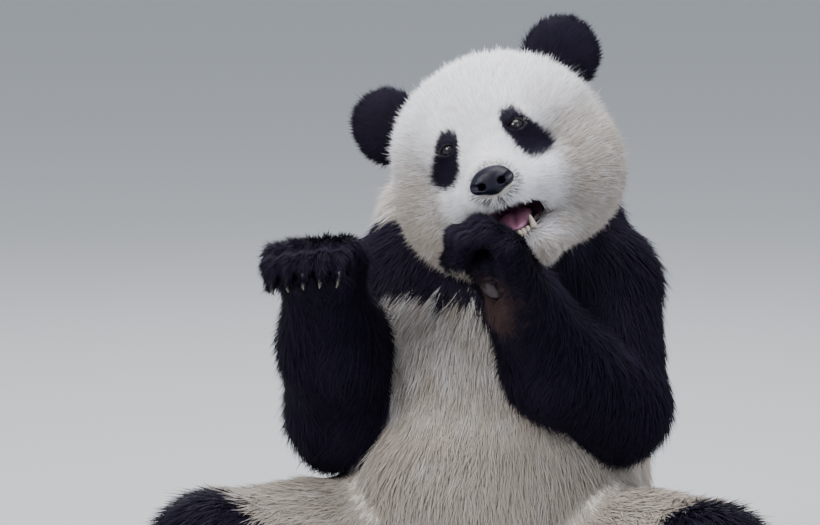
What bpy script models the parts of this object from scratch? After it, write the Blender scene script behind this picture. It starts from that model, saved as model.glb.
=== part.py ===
"""A giant panda sitting upright, life size, as a still museum model.

Run with: blender --background --python part.py

Frame: metres, +Z up. The origin is on the floor under the pelvis, the trunk faces -Y, and +X is the
animal's left. The head has a frame of its own, with its face towards -Y, which is turned, raised and
tilted into place. Every solid gives the outline of the coat's tips. Each part is a cluster of
overlapping balls, ovals and tapered limbs that a voxel remesh fuses and smooths, and neighbours are
then cut to meet with a hair of clearance.
"""

import math

import bmesh
import bpy
from mathutils import Euler, Matrix, Vector

# --- Driving dimensions (metres) -------------------------------------------------------------------

GAP = 0.0005  # clearance between parts that touch
WELD = 0.000001  # edges shorter than this after a cut are dissolved
FINE_VOXEL = 0.0042  # remesh size on the head and paws
COARSE_VOXEL = 0.0085  # remesh size on the trunk and limbs

HEAD_CENTRE = Vector((0.028, -0.120, 0.714))
HEAD_TURN, HEAD_PITCH, HEAD_ROLL = (math.radians(a) for a in (4.0, -6.0, -21.5))
HEAD = Matrix.Translation(HEAD_CENTRE) @ (
    Matrix.Rotation(HEAD_TURN, 4, "Z")
    @ Matrix.Rotation(HEAD_PITCH, 4, "X")
    @ Matrix.Rotation(HEAD_ROLL, 4, "Y")
)

EYE_SPAN, EYE_DEPTH, EYE_HEIGHT, EYE_RADIUS = 0.0455, -0.119, 0.022, 0.0125
EAR_PLACE = {"left": Vector((0.119, 0.030, 0.094)), "right": Vector((-0.130, 0.034, 0.086))}
EAR_RADII = (0.056, 0.024, 0.057)
EAR_LEAN, EAR_TURN = math.radians(52), math.radians(16)
NOSE_CENTRE, NOSE_RADII = (0, -0.190, -0.034), (0.029, 0.016, 0.0170)
JAW_HINGE, JAW_OPEN = Vector((0, 0.000, -0.060)), math.radians(12.5)

# The black band over the shoulders ends on a plane through this height at the origin, which falls
# towards the back.
BAND_HEIGHT, BAND_FALL = 0.477, math.radians(-10)
SHOULDER = {"left": Vector((0.135, 0.000, 0.522)), "right": Vector((-0.128, 0.010, 0.505))}
ELBOW = {"left": Vector((0.172, -0.072, 0.375)), "right": Vector((-0.188, -0.085, 0.352))}
FOREARM_MIDDLE = {"left": Vector((0.118, -0.175, 0.440)), "right": Vector((-0.187, -0.165, 0.455))}
WRIST = {"left": Vector((0.086, -0.272, 0.545)), "right": Vector((-0.186, -0.245, 0.560))}
HIP = {"left": Vector((0.115, -0.030, 0.142)), "right": Vector((-0.115, -0.030, 0.142))}
KNEE = {"left": Vector((0.322, -0.240, 0.180)), "right": Vector((-0.318, -0.260, 0.172))}
ANKLE = {"left": Vector((0.318, -0.440, 0.108)), "right": Vector((-0.316, -0.460, 0.106))}

# Each digit of a forepaw runs from knuckle through two bends to its tip, given for the middle digit;
# the row of five is spread along its own direction.
FOREPAW_ROW = {"left": Vector((0.006, -0.0205, 0.003)), "right": Vector((0.0222, 0.0, 0.0032))}
FOREPAW_BENDS = {
    "left": ((0.070, -0.330, 0.622), (0.046, -0.338, 0.641), (0.018, -0.340, 0.631), (0.010, -0.338, 0.604)),
    "right": ((-0.184, -0.290, 0.592), (-0.184, -0.318, 0.603), (-0.184, -0.342, 0.594), (-0.184, -0.350, 0.579)),
}
PALM = {"left": Vector((0.050, -0.312, 0.596)), "right": Vector((-0.184, -0.300, 0.580))}
DIGIT_RADII = (0.021, 0.0195, 0.0175, 0.0140)
# The outer digits are set back along the digit's first stretch, as the knuckles stand in an arc.
DIGIT_SETBACK = (0.010, 0.003, 0.0, 0.003, 0.011)
CLAW_LENGTH, CLAW_RADIUS = 0.029, 0.0045

# The hind paws stand on their heels: the soles lean back from upright and the toes fan outwards.
HEEL_OFFSET, HEEL_HEIGHT = Vector((0, -0.050, 0)), 0.044
SOLE_LEAN = {"left": math.radians(16), "right": math.radians(19)}
SOLE_SPREAD = {"left": math.radians(15), "right": math.radians(-17)}
SOLE_TURN = {"left": math.radians(10), "right": math.radians(-12)}

BLACK, WHITE = (0.012, 0.011, 0.014, 1.0), (0.72, 0.68, 0.62, 1.0)
SKIN, HORN, PINK = (0.02, 0.02, 0.024, 1), (0.30, 0.27, 0.22, 1), (0.5, 0.2, 0.22, 1)


# --- Small tools -----------------------------------------------------------------------------------


def clear_scene():
    """Removes every object of the startup scene."""
    for obj in list(bpy.data.objects):
        bpy.data.objects.remove(obj)


def finish(name, colour, roughness):
    """A plain material, made once for each name."""
    material = bpy.data.materials.get(name)
    if material is None:
        material = bpy.data.materials.new(name)
        material.use_nodes = True
        shader = material.node_tree.nodes["Principled BSDF"]
        shader.inputs["Base Color"].default_value = colour
        shader.inputs["Roughness"].default_value = roughness
    return material


def add_oval(shells, centre, radii, turn=(0, 0, 0), detail=4):
    """Adds a closed oval, turned by Euler angles in degrees."""
    rotation = Euler([math.radians(angle) for angle in turn]).to_matrix().to_4x4()
    place = Matrix.Translation(centre) @ rotation @ Matrix.Diagonal((*radii, 1))
    bmesh.ops.create_icosphere(shells, subdivisions=detail, radius=1, matrix=place)


def add_limb(shells, start, end, start_radius, end_radius, detail=3):
    """Adds a tapered limb with round ends: the hull of a ball at each end."""
    balls, limb = bmesh.new(), bmesh.new()
    for centre, radius in ((start, start_radius), (end, end_radius)):
        bmesh.ops.create_icosphere(balls, subdivisions=detail, radius=radius, matrix=Matrix.Translation(centre))
    for vert in balls.verts:
        limb.verts.new(vert.co)
    balls.free()
    bmesh.ops.convex_hull(limb, input=list(limb.verts))
    loose = [vert for vert in limb.verts if not vert.link_faces]
    bmesh.ops.delete(limb, geom=loose, context="VERTS")
    mesh = bpy.data.meshes.new("limb")
    limb.to_mesh(mesh)
    limb.free()
    shells.from_mesh(mesh)
    bpy.data.meshes.remove(mesh)


def add_chain(shells, points, radii, detail=3):
    """Adds limbs end to end along some points."""
    for start, end, start_radius, end_radius in zip(points, points[1:], radii, radii[1:]):
        add_limb(shells, Vector(start), Vector(end), start_radius, end_radius, detail)


def new_object(name, shells, material, place=Matrix.Identity(4)):
    """Makes an object of a bmesh, moved into place, and frees the bmesh."""
    mesh = bpy.data.meshes.new(name)
    bmesh.ops.transform(shells, matrix=place, verts=shells.verts)
    bmesh.ops.recalc_face_normals(shells, faces=shells.faces)
    shells.to_mesh(mesh)
    shells.free()
    obj = bpy.data.objects.new(name, mesh)
    obj.data.materials.append(material)
    bpy.context.collection.objects.link(obj)
    return obj


def apply_modifiers(obj):
    """Replaces an object's mesh by what its modifiers make of it."""
    bpy.context.view_layer.update()
    graph = bpy.context.evaluated_depsgraph_get()
    mesh = bpy.data.meshes.new_from_object(obj.evaluated_get(graph))
    obj.modifiers.clear()
    obj.data = mesh


def spread(faces):
    """The size of the box round some faces, as a volume."""
    corners = [vert.co for face in faces for vert in face.verts]
    return math.prod(max(co[axis] for co in corners) - min(co[axis] for co in corners) for axis in range(3))


def keep_main(obj):
    """Keeps the largest of an object's separate bodies where a cut has left several."""
    shells = bmesh.new()
    shells.from_mesh(obj.data)
    left, bodies = set(shells.faces), []
    while left:
        seed = left.pop()
        body, front = [seed], [seed]
        while front:
            face = front.pop()
            for other in (link for edge in face.edges for link in edge.link_faces):
                if other in left:
                    left.discard(other)
                    body.append(other)
                    front.append(other)
        bodies.append(body)
    main_body = max(bodies, key=spread)
    others = [face for body in bodies if body is not main_body for face in body]
    bmesh.ops.delete(shells, geom=others, context="FACES")
    bmesh.ops.dissolve_degenerate(shells, dist=WELD, edges=shells.edges)
    shells.to_mesh(obj.data)
    shells.free()


def fuse(obj, voxel, smoothing):
    """Fuses overlapping shells into one smooth skin."""
    remesh = obj.modifiers.new("fuse", "REMESH")
    remesh.mode = "VOXEL"
    remesh.voxel_size = voxel
    smooth = obj.modifiers.new("smooth", "SMOOTH")
    smooth.factor = 0.5
    smooth.iterations = smoothing
    apply_modifiers(obj)


def thin(obj, triangles):
    """Collapses edges until about the given number of triangles is left."""
    now = sum(len(face.vertices) - 2 for face in obj.data.polygons)
    collapse = obj.modifiers.new("thin", "DECIMATE")
    collapse.ratio = min(1.0, triangles / now)
    apply_modifiers(obj)


def boolean(obj, other, operation):
    """Cuts or joins two closed meshes at once."""
    modifier = obj.modifiers.new(operation.lower(), "BOOLEAN")
    modifier.operation = operation
    modifier.object = other
    modifier.use_self = True
    apply_modifiers(obj)


def grown_copy(obj, by):
    """A helper copy of an object whose faces stand further out, by the same amount at sharp edges."""
    shells = bmesh.new()
    shells.from_mesh(obj.data)
    bmesh.ops.triangulate(shells, faces=shells.faces)
    shells.normal_update()
    moves = [(vert, vert.normal * (min(vert.calc_shell_factor(), 3.0) * by)) for vert in shells.verts]
    for vert, move in moves:
        vert.co += move
    copy = bpy.data.objects.new(obj.name + ".grown", obj.data.copy())
    shells.to_mesh(copy.data)
    shells.free()
    bpy.context.collection.objects.link(copy)
    return copy


def cut_by(obj, *neighbours):
    """Trims an object where its neighbours are, with the clearance, and keeps its main body."""
    for neighbour in neighbours:
        cutter = grown_copy(neighbour, GAP)
        boolean(obj, cutter, "DIFFERENCE")
        bpy.data.objects.remove(cutter)
    keep_main(obj)


def trim_to_floor(obj):
    """Cuts off what reaches below the floor, which leaves a small flat to rest on."""
    block = bmesh.new()
    side = 3.0
    bmesh.ops.create_cube(block, size=side, matrix=Matrix.Translation((0, 0, -side / 2)))
    cutter = new_object("floor_cutter", block, obj.data.materials[0])
    boolean(obj, cutter, "DIFFERENCE")
    bpy.data.objects.remove(cutter)


def shade_smooth(obj):
    """Shades round surfaces smooth and keeps the cuts' edges sharp."""
    obj.data.shade_smooth()
    obj.data.set_sharp_from_angle(angle=math.radians(50))


# --- Trunk, neck and tail --------------------------------------------------------------------------


def band_block(material, offset):
    """A block whose lower face is the end of the shoulder band, moved along its normal by an offset."""
    side = 2.0
    shells = bmesh.new()
    bmesh.ops.create_cube(shells, size=side)
    tilt = Matrix.Rotation(BAND_FALL, 4, "X")
    base = Matrix.Translation((0, 0, BAND_HEIGHT))
    return new_object("band_block", shells, material, base @ tilt @ Matrix.Translation((0, 0, side / 2 + offset)))


def build_body(white, black):
    """The trunk and the shoulders: a broad rump, a full belly, a deep chest and a hunched back.

    Both start as one body, which a tilted plane then parts at the end of the black shoulder band.
    """
    shells = bmesh.new()
    add_oval(shells, (0, 0.055, 0.168), (0.218, 0.188, 0.182))
    add_oval(shells, (0, -0.045, 0.250), (0.208, 0.180, 0.185))
    add_oval(shells, (0, 0.068, 0.260), (0.212, 0.182, 0.190))
    add_oval(shells, (0, 0.062, 0.370), (0.196, 0.164, 0.170))
    add_oval(shells, (0, -0.010, 0.400), (0.190, 0.162, 0.170))
    add_oval(shells, (0.105, 0.022, 0.510), (0.105, 0.118, 0.116))
    add_oval(shells, (-0.100, 0.022, 0.496), (0.103, 0.118, 0.114))
    add_oval(shells, (0, 0.048, 0.480), (0.170, 0.146, 0.142))
    add_oval(shells, (0, -0.040, 0.480), (0.130, 0.120, 0.100))
    add_oval(shells, (0.088, 0.060, 0.585), (0.090, 0.090, 0.085))
    trunk = new_object("trunk", shells, white)
    fuse(trunk, COARSE_VOXEL, 34)
    thin(trunk, 520)
    shoulders = bpy.data.objects.new("shoulders", trunk.data.copy())
    bpy.context.collection.objects.link(shoulders)
    shoulders.data.materials[0] = black
    for body, operation, offset in ((trunk, "DIFFERENCE", -GAP / 2), (shoulders, "INTERSECT", GAP / 2)):
        block = band_block(body.data.materials[0], offset)
        boolean(body, block, operation)
        bpy.data.objects.remove(block)
    trim_to_floor(trunk)
    return trunk, shoulders


def build_neck(coat):
    """The short thick neck between the shoulders and the skull, with the throat under the chin."""
    shells = bmesh.new()
    nape = HEAD @ Vector((0, 0.058, -0.030))
    add_limb(shells, Vector((0, 0.050, 0.535)), nape, 0.136, 0.124, detail=4)
    add_oval(shells, (-0.025, 0.075, 0.600), (0.155, 0.118, 0.100), detail=3)
    neck = new_object("neck", shells, coat)
    fuse(neck, COARSE_VOXEL, 6)
    thin(neck, 130)
    return neck


def build_tail(coat):
    """The short broad tail, lying on the floor behind the rump."""
    shells = bmesh.new()
    add_limb(shells, Vector((0, 0.205, 0.066)), Vector((0.008, 0.290, 0.038)), 0.052, 0.040)
    tail = new_object("tail", shells, coat)
    fuse(tail, FINE_VOXEL, 4)
    thin(tail, 110)
    trim_to_floor(tail)
    return tail


# --- Head ------------------------------------------------------------------------------------------


def build_head(coat):
    """The skull with its full cheeks and brow, smoothed first, and then the short deep muzzle."""
    shells = bmesh.new()
    add_oval(shells, (0, 0.004, 0.010), (0.142, 0.136, 0.122))
    add_oval(shells, (0, 0.055, 0.000), (0.147, 0.092, 0.112))
    add_oval(shells, (0, 0.000, -0.030), (0.151, 0.118, 0.100))
    add_oval(shells, (0, -0.052, 0.028), (0.098, 0.084, 0.080))
    for side in (-1, 1):
        add_oval(shells, (side * 0.064, 0.000, -0.052), (0.089, 0.104, 0.091))
    head = new_object("head", shells, coat, HEAD)
    fuse(head, FINE_VOXEL, 18)
    shells = bmesh.new()
    add_limb(shells, Vector((0, -0.075, -0.012)), Vector((0, -0.142, -0.036)), 0.060, 0.040)
    add_oval(shells, (0, -0.138, -0.052), (0.052, 0.052, 0.036))
    for side in (-1, 1):
        add_oval(shells, (side * 0.038, -0.096, -0.050), (0.044, 0.055, 0.040))
    muzzle = new_object("muzzle", shells, coat, HEAD)
    fuse(muzzle, FINE_VOXEL, 3)
    boolean(head, muzzle, "UNION")
    bpy.data.objects.remove(muzzle)
    fuse(head, FINE_VOXEL, 7)
    thin(head, 880)
    return head


def mouth_cutter(coat):
    """The hollow of the open mouth, a flat wedge from the lips back to the throat."""
    shells = bmesh.new()
    add_oval(shells, (0, -0.102, -0.083), (0.043, 0.104, 0.0265), (6, 0, 0), detail=3)
    return new_object("mouth_cutter", shells, coat, HEAD)


def jaw_place():
    """The lower jaw's place, swung open about its hinge."""
    swing = Matrix.Rotation(JAW_OPEN, 4, "X")
    return HEAD @ Matrix.Translation(JAW_HINGE) @ swing @ Matrix.Translation(-JAW_HINGE)


def build_jaw(coat):
    """The lower jaw with the fur of the chin and throat, modelled closed and swung open."""
    shells = bmesh.new()
    add_limb(shells, Vector((0, -0.040, -0.098)), Vector((0, -0.106, -0.106)), 0.048, 0.036)
    for side in (-1, 1):
        add_limb(shells, Vector((side * 0.055, -0.005, -0.088)), Vector((side * 0.018, -0.104, -0.102)), 0.055, 0.033)
    jaw = new_object("jaw", shells, coat, jaw_place())
    fuse(jaw, FINE_VOXEL, 5)
    thin(jaw, 200)
    return jaw


def add_teeth(obj, teeth, place):
    """Joins cone teeth to a jaw: (root, tip, root radius) each."""
    for number, (root, tip, radius) in enumerate(teeth):
        shells = bmesh.new()
        add_limb(shells, Vector(root), Vector(tip), radius, radius * 0.38, detail=1)
        tooth = new_object(f"tooth_{number}", shells, obj.data.materials[0], place)
        boolean(obj, tooth, "UNION")
        bpy.data.objects.remove(tooth)


def lower_teeth():
    """Two canines and the incisors between them."""
    teeth = [((side * 0.021, -0.119, -0.084), (side * 0.022, -0.124, -0.064), 0.0055) for side in (-1, 1)]
    for step in (-2.5, -1.5, -0.5, 0.5, 1.5, 2.5):
        across, back = step * 0.0052, 0.0012 * step * step
        teeth.append(((across, -0.132 + back, -0.084), (across, -0.135 + back, -0.072), 0.0034))
    return teeth


def build_tongue(coat):
    """The broad flat tongue on the floor of the mouth."""
    shells = bmesh.new()
    add_oval(shells, (0, -0.085, -0.0755), (0.021, 0.046, 0.011), detail=2)
    return new_object("tongue", shells, coat, jaw_place())


def build_ear(side, sign, coat):
    """A round ear: a thick disc that stands out of the crown, a little hollow in front."""
    shells = bmesh.new()
    add_oval(shells, (0, 0, 0), EAR_RADII, detail=3)
    add_oval(shells, (0, 0.006, -0.030), (0.045, 0.026, 0.036), detail=3)
    lean = Matrix.Rotation(sign * EAR_LEAN, 4, "Y")
    turn = Matrix.Rotation(sign * EAR_TURN, 4, "Z")
    place = HEAD @ Matrix.Translation(EAR_PLACE[side]) @ turn @ lean
    ear = new_object(f"ear_{side}", shells, coat, place)
    fuse(ear, FINE_VOXEL, 4)
    thin(ear, 110)
    hollow = bmesh.new()
    add_oval(hollow, (0, -0.030, -0.004), (0.034, 0.020, 0.036), detail=2)
    cutter = new_object("ear_hollow", hollow, coat, place)
    boolean(ear, cutter, "DIFFERENCE")
    bpy.data.objects.remove(cutter)
    return ear


def build_ball(name, centre, radii, material, detail=2):
    """A plain oval in the head's frame, such as an eyeball."""
    shells = bmesh.new()
    add_oval(shells, centre, radii, detail=detail)
    return new_object(name, shells, material, HEAD)


def build_nose(leather):
    """The bare nose pad: a broad rounded bar with a narrower lower part."""
    shells = bmesh.new()
    add_oval(shells, NOSE_CENTRE, NOSE_RADII, detail=3)
    add_oval(shells, (0, -0.197, -0.044), (0.013, 0.013, 0.014), detail=3)
    nose = new_object("nose", shells, leather, HEAD)
    fuse(nose, 0.0022, 3)
    thin(nose, 140)
    return nose


# --- Forelegs --------------------------------------------------------------------------------------


def build_upper_arm(side, coat):
    """The heavy upper arm, hanging from the shoulder to the elbow."""
    shells = bmesh.new()
    add_limb(shells, SHOULDER[side], ELBOW[side], 0.101, 0.084, detail=4)
    arm = new_object(f"upper_arm_{side}", shells, coat)
    fuse(arm, COARSE_VOXEL, 4)
    thin(arm, 120)
    return arm


def build_forearm(side, coat):
    """The forearm, raised from the elbow to the wrist."""
    shells = bmesh.new()
    add_chain(shells, (ELBOW[side], FOREARM_MIDDLE[side], WRIST[side]), (0.080, 0.074, 0.056))
    arm = new_object(f"forearm_{side}", shells, coat)
    fuse(arm, COARSE_VOXEL, 4)
    thin(arm, 120)
    return arm


def digit_points(side, number):
    """The knuckle, bends and tip of a forepaw's digit, from the inner one (0) to the outer one (4)."""
    knuckle, *rest = (Vector(point) for point in FOREPAW_BENDS[side])
    shift = FOREPAW_ROW[side] * (number - 2)
    back = (knuckle - rest[0]).normalized() * DIGIT_SETBACK[number]
    return [point + shift + back for point in (knuckle, *rest)]


def build_forepaw(side, coat):
    """The palm and five curled digits of a forepaw."""
    shells = bmesh.new()
    knuckles = [digit_points(side, number)[0] for number in range(5)]
    for knuckle in knuckles:
        root = WRIST[side].lerp(knuckle, 0.12) + (knuckle - knuckles[2]) * 0.35
        add_limb(shells, root, knuckle, 0.038, 0.0235)
    for number in range(5):
        add_chain(shells, digit_points(side, number), DIGIT_RADII)
    for step in (-1, 1):
        add_limb(shells, WRIST[side], PALM[side] + FOREPAW_ROW[side] * step, 0.040, 0.026)
    paw = new_object(f"forepaw_{side}", shells, coat)
    fuse(paw, FINE_VOXEL, 3)
    thin(paw, 300)
    return paw


def build_claw(name, tip, forward, down, horn):
    """A curved claw: a tapered arc that leaves a digit's tip forwards and bends down to a point."""
    bend, sides, rings = math.radians(70), 5, 3
    reach = CLAW_LENGTH / bend
    across = forward.cross(down)
    shells = bmesh.new()
    loops = []
    for ring in range(rings):
        along = ring / rings
        angle = along * bend
        centre = tip + (forward * math.sin(angle) + down * (1 - math.cos(angle))) * reach
        lift = down * math.cos(angle) - forward * math.sin(angle)
        radius = CLAW_RADIUS * (1 - 0.85 * along)
        turns = [2 * math.pi * side / sides for side in range(sides)]
        loops.append([shells.verts.new(centre + (across * math.cos(t) + lift * math.sin(t)) * radius) for t in turns])
    point = shells.verts.new(tip + (forward * math.sin(bend) + down * (1 - math.cos(bend))) * reach)
    shells.faces.new(loops[0])
    for lower, upper in zip(loops, loops[1:]):
        for side in range(sides):
            after = (side + 1) % sides
            shells.faces.new((lower[side], lower[after], upper[after], upper[side]))
    for side in range(sides):
        shells.faces.new((loops[-1][side], loops[-1][(side + 1) % sides], point))
    return new_object(name, shells, horn)


# --- Hind legs -------------------------------------------------------------------------------------


def build_thigh(side, coat):
    """The thick thigh, splayed outwards along the floor."""
    shells = bmesh.new()
    add_limb(shells, HIP[side], KNEE[side], 0.145, 0.106, detail=4)
    thigh = new_object(f"thigh_{side}", shells, coat)
    fuse(thigh, COARSE_VOXEL, 5)
    thin(thigh, 160)
    trim_to_floor(thigh)
    return thigh


def build_shank(side, coat):
    """The lower hind leg, from the knee down to the heel."""
    shells = bmesh.new()
    add_limb(shells, KNEE[side], ANKLE[side], 0.099, 0.060, detail=4)
    shank = new_object(f"shank_{side}", shells, coat)
    fuse(shank, COARSE_VOXEL, 4)
    thin(shank, 130)
    return shank


def sole_place(side):
    """The hind paw's frame: its origin in the heel, the sole towards -Y and the toes towards +Z."""
    heel = ANKLE[side] + HEEL_OFFSET
    heel.z = HEEL_HEIGHT
    return (
        Matrix.Translation(heel)
        @ Matrix.Rotation(SOLE_TURN[side], 4, "Z")
        @ Matrix.Rotation(SOLE_SPREAD[side], 4, "Y")
        @ Matrix.Rotation(-SOLE_LEAN[side], 4, "X")
    )


def toe_points(number):
    """A hind toe's root and tip in the sole's frame, in a gentle arc over the ball of the foot."""
    across = (number - 2) * 0.0240
    rise = 0.122 - 0.0038 * (number - 2) ** 2
    return Vector((across, 0.002, rise)), Vector((across * 1.08, -0.008, rise + 0.027))


def build_hindpaw(side, coat):
    """The hind paw on its heel, with the sole forwards and five toes in a row at the top."""
    shells = bmesh.new()
    add_limb(shells, Vector((0, 0.004, 0.000)), Vector((0, 0.004, 0.070)), 0.052, 0.046)
    for number in range(5):
        root, tip = toe_points(number)
        add_limb(shells, Vector((root.x * 0.6, 0.006, 0.060)), root, 0.036, 0.0230)
        add_limb(shells, root, tip, 0.0220, 0.0170)
    paw = new_object(f"hindpaw_{side}", shells, coat, sole_place(side))
    fuse(paw, FINE_VOXEL, 3)
    thin(paw, 250)
    trim_to_floor(paw)
    return paw


# --- Assembly --------------------------------------------------------------------------------------


def build_foreleg(side, black, horn, body, face):
    """One foreleg from shoulder to claws, each piece cut by the one above it and by the face."""
    upper = build_upper_arm(side, black)
    fore = build_forearm(side, black)
    paw = build_forepaw(side, black)
    cut_by(upper, *body, *face)
    cut_by(fore, *body, *face, upper)
    cut_by(paw, *face, fore)
    claws = []
    for number in range(5):
        *_, bend, tip = digit_points(side, number)
        forward = (tip - bend).normalized()
        inward = (WRIST[side] - tip).normalized()
        down = (inward - forward * inward.dot(forward)).normalized()
        claws.append(build_claw(f"claw_fore_{side}_{number + 1}", tip, forward, down, horn))
    for claw in claws:
        cut_by(claw, paw)
    return [upper, fore, paw, *claws]


def build_hindleg(side, white, black, horn, trunk):
    """One hind leg from hip to claws."""
    thigh = build_thigh(side, white)
    shank = build_shank(side, black)
    paw = build_hindpaw(side, black)
    cut_by(thigh, trunk)
    cut_by(shank, thigh)
    cut_by(paw, shank)
    place = sole_place(side)
    claws = []
    for number in range(5):
        _, tip = toe_points(number)
        forward = (place.to_3x3() @ Vector((0, -0.45, 1))).normalized()
        down = (place.to_3x3() @ Vector((0, -1, -0.45))).normalized()
        claws.append(build_claw(f"claw_hind_{side}_{number + 1}", place @ tip, forward, down, horn))
    for claw in claws:
        cut_by(claw, paw)
    return [thigh, shank, paw, *claws]


def build_face(white, black, leather, pink, shoulders):
    """The head with its jaw, eyes, nose, ears and what the open mouth shows."""
    head = build_head(white)
    jaw = build_jaw(white)
    mouth = mouth_cutter(white)
    boolean(head, mouth, "DIFFERENCE")
    boolean(jaw, mouth, "DIFFERENCE")
    bpy.data.objects.remove(mouth)
    keep_main(head)
    keep_main(jaw)
    eyes = [
        build_ball(f"eye_{side}", (sign * EYE_SPAN, EYE_DEPTH, EYE_HEIGHT), (EYE_RADIUS,) * 3, leather)
        for side, sign in (("left", 1), ("right", -1))
    ]
    nose = build_nose(leather)
    cut_by(head, *eyes, nose)
    cut_by(jaw, head)
    tongue = build_tongue(pink)
    cut_by(tongue, jaw, head)
    ears = [build_ear(side, sign, black) for side, sign in (("left", 1), ("right", -1))]
    for ear in ears:
        cut_by(ear, head)
    cut_by(shoulders, head, jaw)
    neck = build_neck(white)
    cut_by(neck, head, jaw, tongue, shoulders)
    cut_by(jaw, neck)
    add_teeth(jaw, lower_teeth(), jaw_place())
    keep_main(jaw)
    return [head, jaw, neck, tongue, nose, *eyes, *ears]


def main():
    """Builds the whole animal."""
    clear_scene()
    white = finish("white_coat", WHITE, 0.9)
    black = finish("black_coat", BLACK, 0.85)
    leather = finish("nose_leather", SKIN, 0.4)
    horn = finish("claw_horn", HORN, 0.5)
    pink = finish("tongue_pink", PINK, 0.45)
    trunk, shoulders = build_body(white, black)
    tail = build_tail(white)
    cut_by(tail, trunk)
    face = build_face(white, black, leather, pink, shoulders)
    parts = [trunk, shoulders, tail, *face]
    for side in ("left", "right"):
        hindleg = build_hindleg(side, white, black, horn, trunk)
        thigh = hindleg[0]
        parts += hindleg
        parts += build_foreleg(side, black, horn, (trunk, shoulders, thigh), face[:3])
    for part in parts:
        shade_smooth(part)


main()
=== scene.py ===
"""A life-size giant panda, sitting up with one forepaw at its open mouth, as a still model.

The skin is one closed surface round a set of rounded masses, the same ones as the solids have but
lower by the depth of the coat. The coat is closed tapering locks rooted on that skin. Lengths are
in metres and the frame is that of the solids: +Z up, -Y forwards, +X towards the animal's left.
"""

from __future__ import annotations

import logging
import math
from dataclasses import dataclass, field, fields
from enum import Enum, StrEnum
from functools import cached_property

import bmesh
import bpy
import numpy as np
import openvdb
from mathutils import Matrix, Vector

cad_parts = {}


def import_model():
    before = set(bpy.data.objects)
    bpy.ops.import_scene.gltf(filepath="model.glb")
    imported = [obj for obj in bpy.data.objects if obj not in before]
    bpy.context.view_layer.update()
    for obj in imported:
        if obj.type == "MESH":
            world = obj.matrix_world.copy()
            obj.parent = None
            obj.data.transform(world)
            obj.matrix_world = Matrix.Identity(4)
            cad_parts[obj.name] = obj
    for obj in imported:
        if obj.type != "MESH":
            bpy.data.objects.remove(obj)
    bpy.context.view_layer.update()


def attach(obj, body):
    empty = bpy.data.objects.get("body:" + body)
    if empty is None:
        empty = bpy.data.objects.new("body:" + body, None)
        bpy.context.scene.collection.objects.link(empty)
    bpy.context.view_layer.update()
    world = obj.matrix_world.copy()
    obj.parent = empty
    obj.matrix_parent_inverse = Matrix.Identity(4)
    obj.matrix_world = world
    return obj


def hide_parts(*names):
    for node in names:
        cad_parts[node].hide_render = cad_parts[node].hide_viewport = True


log = logging.getLogger("panda")

Triple = tuple[float, float, float]
Array = np.ndarray
Mesh = tuple[Array, Array]  # corners, (n, 3), and faces as rows of corner numbers
Socket = bpy.types.NodeSocket
Piece = bpy.types.Object
Material = bpy.types.Material
BODY = "root"
SEED = 1869
WAVES = 9  # sine waves in a ripple
FAR = 0.06  # past this distance a part of the body has no effect on the skin
DIGITS = range(5)
MIDDLE_DIGIT = 2
HIDDEN = 1e-5  # radius of the ring that closes a tube's end


class Side(StrEnum):
    """The animal's own left and right."""

    LEFT = "left"
    RIGHT = "right"

    @property
    def sign(self) -> float:
        """Which way along X it is."""
        return 1.0 if self is Side.LEFT else -1.0


class Paw(StrEnum):
    """The two kinds of paw."""

    FORE = "fore"
    HIND = "hind"


# --- Arrays of points ---


def lengths(vectors: Array) -> Array:
    """How long vectors are, by rows."""
    return np.linalg.norm(vectors, axis=1)


def unit(vectors: Array) -> Array:
    """Vectors made one long, by rows."""
    return vectors / np.maximum(np.linalg.norm(vectors, axis=-1, keepdims=True), 1e-9)


def smooth_step(low: float, high: float, values: Array) -> Array:
    """0 below low, 1 above high and an S between them."""
    part = np.clip((values - low) / (high - low), 0.0, 1.0)
    return part * part * (3.0 - 2.0 * part)


def smooth_min(first: Array, second: Array, blend: float | Array) -> Array:
    """The lesser of two distances, rounded where they differ by less than blend.

    Args:
        first: Distances to one surface.
        second: Distances to the other.
        blend: How wide the rounding is.

    Returns:
        min(a, b) - (blend - |a - b|)^2 / (4 blend) where |a - b| < blend, else min(a, b).
    """
    near = np.maximum(blend - np.abs(first - second), 0.0)
    return np.minimum(first, second) - near * near / (4.0 * blend)


def smooth_max(first: Array, second: Array, blend: float | Array) -> Array:
    """The greater of two distances, rounded where they differ by less than blend."""
    return -smooth_min(-first, -second, blend)


def ripple(points: Array, scale: float, seed: int) -> Array:
    """A smooth random field, the sum of sine waves of random direction and phase.

    Args:
        points: Where it is wanted, (n, 3).
        scale: The length of the longest wave.
        seed: Which field.

    Returns:
        (n, 3) values, each about -1 to 1.
    """
    source = np.random.default_rng(seed)
    total = np.zeros((len(points), 3))
    for wave in range(WAVES):
        direction = unit(source.normal(size=(3, 3)))
        length = scale / (1.0 + 0.28 * wave)
        phase = source.uniform(0.0, 2.0 * math.pi, 3)
        total += np.sin(points @ direction.T * (2.0 * math.pi / length) + phase)
    return total / (WAVES / 2.0)


@dataclass(frozen=True)
class Place:
    """A frame of its own for some masses: a turn and a shift into the model's frame."""

    turn: Array = field(default_factory=lambda: np.eye(3))
    shift: Array = field(default_factory=lambda: np.zeros(3))

    @staticmethod
    def of(matrix: Matrix) -> "Place":
        """The place that a 4 x 4 matrix gives."""
        whole = np.array(matrix)
        return Place(whole[:3, :3], whole[:3, 3])

    def inwards(self, points: Array) -> Array:
        """Points of the model in this frame."""
        return (points - self.shift) @ self.turn

    def outwards(self, points: Array) -> Array:
        """Points of this frame in the model."""
        return np.asarray(points) @ self.turn.T + self.shift

    def turned(self, vectors: Array) -> Array:
        """Directions of this frame in the model."""
        return np.asarray(vectors) @ self.turn.T


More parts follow.
